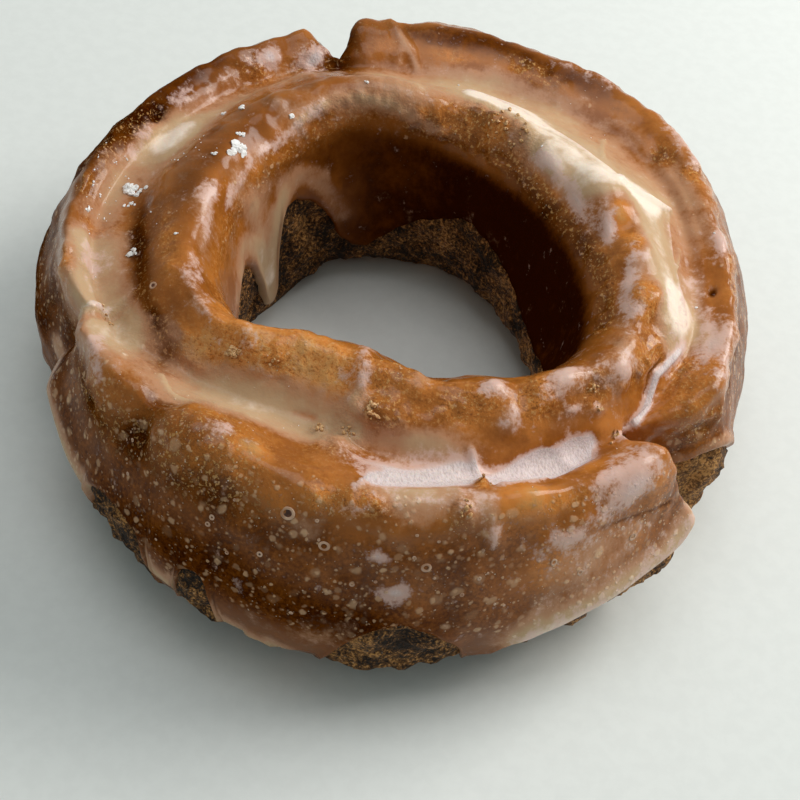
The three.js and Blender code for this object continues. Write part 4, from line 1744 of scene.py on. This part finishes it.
@dataclass(frozen=True)
class GlazeFinish:
    """Set sugar glaze over browned dough: brown where it is thin, beige where it has pooled.

    burnt_and_shade to gold are colours of the dough; the darkest stands for burnt specks and for painted
    shade on the wall of the hole. tan to pale are those of ever thicker glaze, and white to ash those of the
    white frosting, where lilac_milk_and_highlight is pale pink milk that paints a highlight on the crests.
    bubble_and_glint_gold is the pale gold of bubbles in thick glaze and of tiny painted glints. For each
    size of bubble, bubble_sizes gives its spacing in millimetres, its reach in spacings and how open its
    middle is.
    """

    burnt_and_shade: Colour = (0.035, 0.006, 0.0005)
    deep: Colour = (0.118, 0.030, 0.002)
    brown: Colour = (0.295, 0.092, 0.014)
    orange: Colour = (0.570, 0.202, 0.038)
    gold: Colour = (0.680, 0.370, 0.130)
    tan: Colour = (0.500, 0.258, 0.142)
    beige: Colour = (0.540, 0.368, 0.216)
    pale: Colour = (0.880, 0.740, 0.610)
    white: Colour = (0.760, 0.700, 0.710)
    lilac_milk_and_highlight: Colour = (0.700, 0.480, 0.420)
    ash: Colour = (0.480, 0.420, 0.430)
    bubble: Colour = (0.720, 0.460, 0.270)
    bubble_and_glint_gold: Colour = (0.900, 0.720, 0.540)
    bubble_sizes: Sequence[tuple[float, float, float]] = (
        (0.6, 0.52, 0.0), (1.1, 0.54, 0.15), (2.1, 0.46, 0.3),
    )
    glint_spacing: float = 0.38

    def make(self) -> bpy.types.Material:
        """Builds the finish.

        Returns:
            The material "set_glaze".
        """
        board = Board("set_glaze")
        film, glow, dusk, grit, frost_and_highlight, dots = (board.layer(layer.value) for layer in Layer)
        cloud = board.noise(5.0, 3.0, 0.5, 2.0) - 0.5
        mottle = board.noise(1.6, 3.0, 0.6, 1.4) - 0.5
        speck = board.noise(0.45, 3.0, 0.65)
        fleck = speck - 0.5

        warmth = glow + cloud * 1.5 + mottle * 1.1 + fleck * (0.4 + grit * 0.8)
        colour = board.mix(warmth.over(0.0, 1.0), self.brown, self.orange)
        colour = board.mix(warmth.over(1.0, 1.8) * 0.85, colour, self.gold)
        # shade darkens the dough: its own frying, and painted shade where dusk carries it, as on the wall of
        # the hole, with fine specks painting shade between the bubbles.
        shade = dusk + cloud * 0.9 + mottle * 0.7 + fleck * (0.1 + grit * 0.4 + dots * 0.8)
        colour = board.mix(shade.over(0.05, 0.8), colour, self.deep)
        colour = board.mix(shade.over(0.65, 1.1), colour, self.burnt_and_shade)

        crumbly = grit.over(0.0, 0.7)
        grains = speck.over(0.54, 0.64) * crumbly
        pits = (1.0 - speck).over(0.55, 0.65) * crumbly
        colour = board.mix(pits * 0.5, colour, self.deep)
        colour = board.mix(grains * 0.65, colour, self.gold)

        thin = film + cloud * 0.7 + mottle * 0.6 + fleck * 0.3
        colour = board.mix(thin.over(0.1, 0.5) * 0.85, colour, self.tan)
        thick = film + cloud * 0.4 + mottle * 0.4
        colour = board.mix(thick.over(0.42, 0.82) * 0.93, colour, self.beige)
        colour = board.mix(thick.over(0.85, 1.2), colour, self.pale)

        colour, dotted = self._bubbles(board, colour, dots, grit, thick)
        fibre = board.fibre(0.2, 3.0, 292.0)
        icy = frost_and_highlight.over(0.4, 0.7)
        # Pale pink milk where the frosting is light: on the crests a painted highlight, at the cracks the
        # glaze's own milk.
        milky = (frost_and_highlight + mottle + fleck * 0.5).over(0.14, 0.44) * (0.7 + 0.2 * icy)
        weave = board.mix(fibre.over(0.25, 0.65), self.ash, self.white)
        colour = board.mix(milky, colour, board.mix(icy * 0.8, self.lilac_milk_and_highlight, weave))

        gloss = 1.0 - (dusk.over(0.35, 0.85) + icy * 0.7).held()
        roughness = 0.42 + mottle * 0.5 + icy * 0.15 + grains * 0.1
        normal = board.bump(board.noise(0.9, 2.0, 0.5), 0.04)
        normal = board.bump(speck * (0.04 + 0.6 * crumbly), 0.25, normal)
        normal = board.bump(dotted, 0.08, normal)
        normal = board.bump(fibre * icy, 0.07, normal)
        return board.surface({
            "Base Color": colour,
            "Roughness": roughness,
            "IOR": 1.46,
            "Specular IOR Level": 0.0,
            "Subsurface Weight": 0.10,
            "Subsurface Radius": (1.0, 0.45, 0.2),
            "Subsurface Scale": 1.0 * MM,
            "Coat Weight": gloss * (0.8 - 0.3 * thick.over(0.35, 0.7)),
            "Coat Roughness": 0.17,
            "Coat IOR": 1.4,
            "Normal": normal,
        })

    def _bubbles(self, board: Board, colour: Wire, dots: Wire, grit: Wire, thick: Wire) -> tuple[Wire, Wire]:
        """Adds the small bubbles caught in the glaze, the large ones as rings, and tiny painted glints.

        Args:
            board: the material.
            colour: the colour so far.
            dots: how many bubbles there are.
            grit: how crumbly it is, which shows as glints.
            thick: how milky the glaze is.

        Returns:
            The colour, and how much of a bubble and of a painted glint there is.
        """
        shown = (dots + (board.noise(6.0, 3.0, 0.6, 1.6) - 0.5) * 2.8).over(0.0, 1.1)
        marks = []
        for spacing, reach, ring in self.bubble_sizes:
            cell = board.cells(spacing, 0.2)
            pick = board.channel(cell.out("Color"), 0)
            depth = (pick - 1.0 + shown * 0.95) * reach - cell.out("Distance")
            inside = depth.over(0.0, 0.24)
            core = depth.over(0.1, 0.22)
            marks.append(inside * (1.0 - core * ring) * (0.1 + 0.9 * board.channel(cell.out("Color"), 2)))
        veiled = thick.over(0.6, 1.1) * (1.0 - dots.over(0.8, 1.4))
        dotted = ((marks[0] * 0.9 + marks[1] + marks[2]) * (1.0 - veiled)).held()
        disc = board.mix(thick.over(0.3, 0.8), self.bubble, self.bubble_and_glint_gold)
        colour = board.mix(dotted * 0.7, colour, disc)
        # Tiny pale gold dots, most where the dough is crumbly and bubbly: painted glints.
        spot = board.cells(self.glint_spacing)
        crowd = (dots * 0.5 + grit * 0.45 + (board.noise(1.4, 2.0, 0.5) - 0.5) * 1.9).over(0.0, 1.0)
        size = (board.channel(spot.out("Color"), 1) - 1.0 + crowd * 0.6) * 0.6
        painted_glints = (size - spot.out("Distance")).over(0.0, 0.2) * (1.0 - thick.over(0.5, 0.8))
        return board.mix(painted_glints * 0.65, colour, self.bubble_and_glint_gold), dotted + painted_glints


@dataclass(frozen=True)
class CrustFinish:
    """Bare fried dough: brown and grainy, near black in the low spots of its grain as dark dough and painted
    shade, with sugar dust in places.
    """

    pit: Colour = (0.014, 0.006, 0.002)
    brown: Colour = (0.200, 0.085, 0.022)
    golden: Colour = (0.60, 0.300, 0.095)
    dust: Colour = (0.52, 0.42, 0.32)

    def make(self) -> bpy.types.Material:
        """Builds the finish.

        Returns:
            The material "fried_crust".
        """
        board = Board("fried_crust")
        cloud = board.noise(4.0, 5.0, 0.6)
        grain = board.noise(0.42, 4.0, 0.7)
        crag = board.cells(0.6, 0.3).out("Distance")
        fresh = board.layer("fresh")
        # The pit colour fills the low spots of the grain, which the bump makes hollows: dark dough and
        # painted shade.
        lit = grain + (cloud - 0.5) * 0.8 + fresh * 0.14
        colour = board.mix(lit.over(0.40, 0.60), self.pit, self.brown)
        bright = grain + (cloud - 0.5) * 0.6 + fresh * 0.08
        colour = board.mix(bright.over(0.55, 0.66), colour, self.golden)
        dusty = board.noise(0.35, 2.0, 0.6).over(0.62, 0.72) * cloud.over(0.4, 0.7)
        colour = board.mix(dusty * 0.6, colour, self.dust)
        normal = board.bump(grain, 0.4)
        normal = board.bump(1.0 - crag, 0.15, normal)
        return board.surface({
            "Base Color": colour,
            "Roughness": 0.62 + (grain - 0.5) * 0.25,
            "Specular IOR Level": 0.2,
            "Subsurface Weight": 0.05,
            "Subsurface Radius": (1.0, 0.4, 0.15),
            "Subsurface Scale": 0.8 * MM,
            "Normal": normal,
        })


@dataclass(frozen=True)
class GrainFinish:
    """A finish of two colours with a fine grain, for what is small or plain.

    name: of the material.
    low: its colour where the grain is low.
    high: its colour where the grain is high.
    grain: width of the grain in millimetres, how many finer sizes it has and how strong those are.
    change: the heights of grain between which the colour changes.
    roughness: how rough it is, and how much of that the grain takes away or adds.
    relief: how deep the grain is, in millimetres, or 0 where it is only a colour.
    others: values of other sockets of the surface, by name.
    """

    name: str
    low: Colour
    high: Colour
    grain: tuple[float, float, float]
    change: tuple[float, float]
    roughness: tuple[float, float]
    relief: float = 0.0
    others: dict[str, object] = field(default_factory=dict)

    def make(self) -> bpy.types.Material:
        """Builds the finish.

        Returns:
            The material.
        """
        board = Board(self.name)
        grain = board.noise(*self.grain)
        inputs = {
            "Base Color": board.mix(grain.over(*self.change), self.low, self.high),
            "Roughness": self.roughness[0] + (grain - 0.5) * self.roughness[1],
            **self.others,
        }
        if self.relief:
            inputs["Normal"] = board.bump(grain, self.relief)
        return board.surface(inputs)


# Loose golden crumbs, glossy where glaze has caught them.
GOLDEN_CRUMB = GrainFinish(
    "golden_crumb", low=(0.42, 0.20, 0.07), high=(0.78, 0.50, 0.24), grain=(0.4, 3.0, 0.6),
    change=(0.3, 0.7), roughness=(0.42, 0.3), relief=0.08,
    others={"Subsurface Weight": 0.1, "Subsurface Radius": (1.0, 0.5, 0.2), "Subsurface Scale": 0.5 * MM},
)

# Dried white flakes of glaze and sugar.
DRIED_SUGAR = GrainFinish(
    "dried_sugar", low=(0.86, 0.84, 0.81), high=(0.95, 0.94, 0.93), grain=(0.3, 3.0, 0.6),
    change=(0.35, 0.6), roughness=(0.7, 0.3), relief=0.06,
    others={"Subsurface Weight": 0.1, "Subsurface Radius": (1.0, 0.9, 0.8), "Subsurface Scale": 0.4 * MM},
)

# The milky rim of a set bubble.
BUBBLE_RIM = GrainFinish(
    "bubble_rim", low=(0.36, 0.17, 0.08), high=(0.56, 0.36, 0.24), grain=(1.5, 2.0, 0.5),
    change=(0.35, 0.65), roughness=(0.4, 0.2), others={"Coat Weight": 0.5, "Coat Roughness": 0.2},
)

# The dark bottom of a burst bubble, on a flat disc: dark dough and painted shade of the pit.
BUBBLE_PIT_SHADE = GrainFinish(
    "bubble_pit_shade", low=(0.045, 0.012, 0.004), high=(0.13, 0.035, 0.010), grain=(0.3, 2.0, 0.5),
    change=(0.4, 0.7), roughness=(0.6, 0.2),
)

# A plain pale matt floor.
PALE_FLOOR = GrainFinish(
    "pale_floor", low=(0.7372, 0.7663, 0.7469), high=(0.76, 0.79, 0.77), grain=(2.0, 4.0, 0.6),
    change=(0.35, 0.65), roughness=(0.8, 0.1), others={"Specular IOR Level": 0.25},
)


# Floor, light and camera


@dataclass(frozen=True)
class Lamp:
    """A square soft lamp that faces the doughnut.

    name: what it is called.
    place: in millimetres from the middle of the ring on the floor.
    width: of its side, in metres.
    power: in watts.
    colour: of its light.
    """

    name: str
    place: tuple[float, float, float]
    width: float
    power: float
    colour: Colour


@dataclass
class Studio:
    """The plain pale floor, the soft light and the camera.

    Places are in millimetres from the middle of the ring on the floor, and so are lens and sensor;
    the floor's width and the nearest distance that the camera sees are in metres. The key light comes
    from the far right, and the broad fill from above.
    """

    form: RingForm
    floor_width: float = 3.0
    camera_place: tuple[float, float, float] = (2.016, -137.68, 161.233)
    camera_elevation: float = 50.0
    camera_roll: float = 10.0
    lens: float = 72.0
    sensor: float = 36.0
    nearest: float = 0.005
    lamps: Sequence[Lamp] = (
        Lamp("key", (330.0, 200.0, 330.0), 0.30, 2.15, (1.0, 0.97, 0.93)),
        Lamp("fill", (-60.0, 120.0, 900.0), 0.6, 2.2, (1.0, 0.99, 1.0)),
    )
    sky: Colour = (0.90, 1.0, 0.97)
    sky_strength: float = 0.31

    def build(self) -> None:
        """Sets up everything but the doughnut."""
        self._floor()
        self._light()
        self._camera()
        bpy.context.scene.view_settings.view_transform = "Standard"

    def _floor(self) -> None:
        """Lays the floor."""
        bm = bmesh.new()
        bmesh.ops.create_grid(bm, x_segments=1, y_segments=1, size=self.floor_width / 2)
        floor = make_piece("floor", bm)
        floor.data.materials.append(PALE_FLOOR.make())

    def _light(self) -> None:
        """Hangs the soft lamps in a pale dim sky."""
        for lamp in self.lamps:
            self._hang(lamp)
        world = bpy.data.worlds.new("sky")
        world.use_nodes = True
        background = world.node_tree.nodes["Background"]
        background.inputs["Color"].default_value = (*self.sky, 1.0)
        background.inputs["Strength"].default_value = self.sky_strength
        bpy.context.scene.world = world

    def _hang(self, lamp: Lamp) -> None:
        """Hangs one lamp.

        Args:
            lamp: which lamp.
        """
        light = bpy.data.lights.new(lamp.name, "AREA")
        light.shape = "SQUARE"
        light.size = lamp.width
        light.energy = lamp.power
        light.color = lamp.colour
        hung = bpy.data.objects.new(lamp.name, light)
        bpy.context.collection.objects.link(hung)
        hung.location = Vector(self.form.place(np.array(lamp.place)))
        aim = Vector(self.form.place(np.zeros(3))) - hung.location
        hung.rotation_euler = aim.to_track_quat("-Z", "Y").to_euler()

    def _camera(self) -> None:
        """Stands the camera above the near side, a little turned."""
        lens = bpy.data.cameras.new("camera")
        lens.lens = self.lens
        lens.sensor_width = self.sensor
        lens.clip_start = self.nearest
        camera = bpy.data.objects.new("camera", lens)
        bpy.context.collection.objects.link(camera)
        rise, roll = math.radians(self.camera_elevation), math.radians(self.camera_roll)
        forward = Vector((0.0, math.cos(rise), -math.sin(rise)))
        right = Vector((1.0, 0.0, 0.0))
        up = right.cross(forward)
        across = right * math.cos(roll) + up * math.sin(roll)
        upright = up * math.cos(roll) - right * math.sin(roll)
        turned = Matrix((across, upright, -forward)).transposed().to_4x4()
        camera.matrix_world = Matrix.Translation(self.form.place(np.array(self.camera_place))) @ turned
        bpy.context.scene.camera = camera


def main() -> None:
    """Builds the doughnut and the studio."""
    logging.basicConfig(level=logging.INFO, format="%(name)s: %(message)s")
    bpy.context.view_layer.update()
    form = RingForm()
    relief = Relief(form)
    glaze = GlazeSkin(form, relief)
    skin = glaze.build()
    glaze.dress(skin)
    crust = CrustBody(form, relief, glaze)
    dough = crust.build()
    crust.dress(dough)
    flakes = Bits("sugar_flakes", "sugar", FLAKES, glaze, seed=5)
    white = flakes.build()
    flakes.dress(white, DRIED_SUGAR.make())
    crumbs = Bits("golden_crumbs", "crust", CRUMBS, glaze, seed=11)
    golden = crumbs.build()
    crumbs.dress(golden, GOLDEN_CRUMB.make())
    bubbles = Bubbles(glaze)
    rims = bubbles.build()
    bubbles.dress(rims)
    for piece in (skin, dough, white, golden, rims):
        report(piece)
    Studio(form).build()


if __name__ == "__main__":
    main()
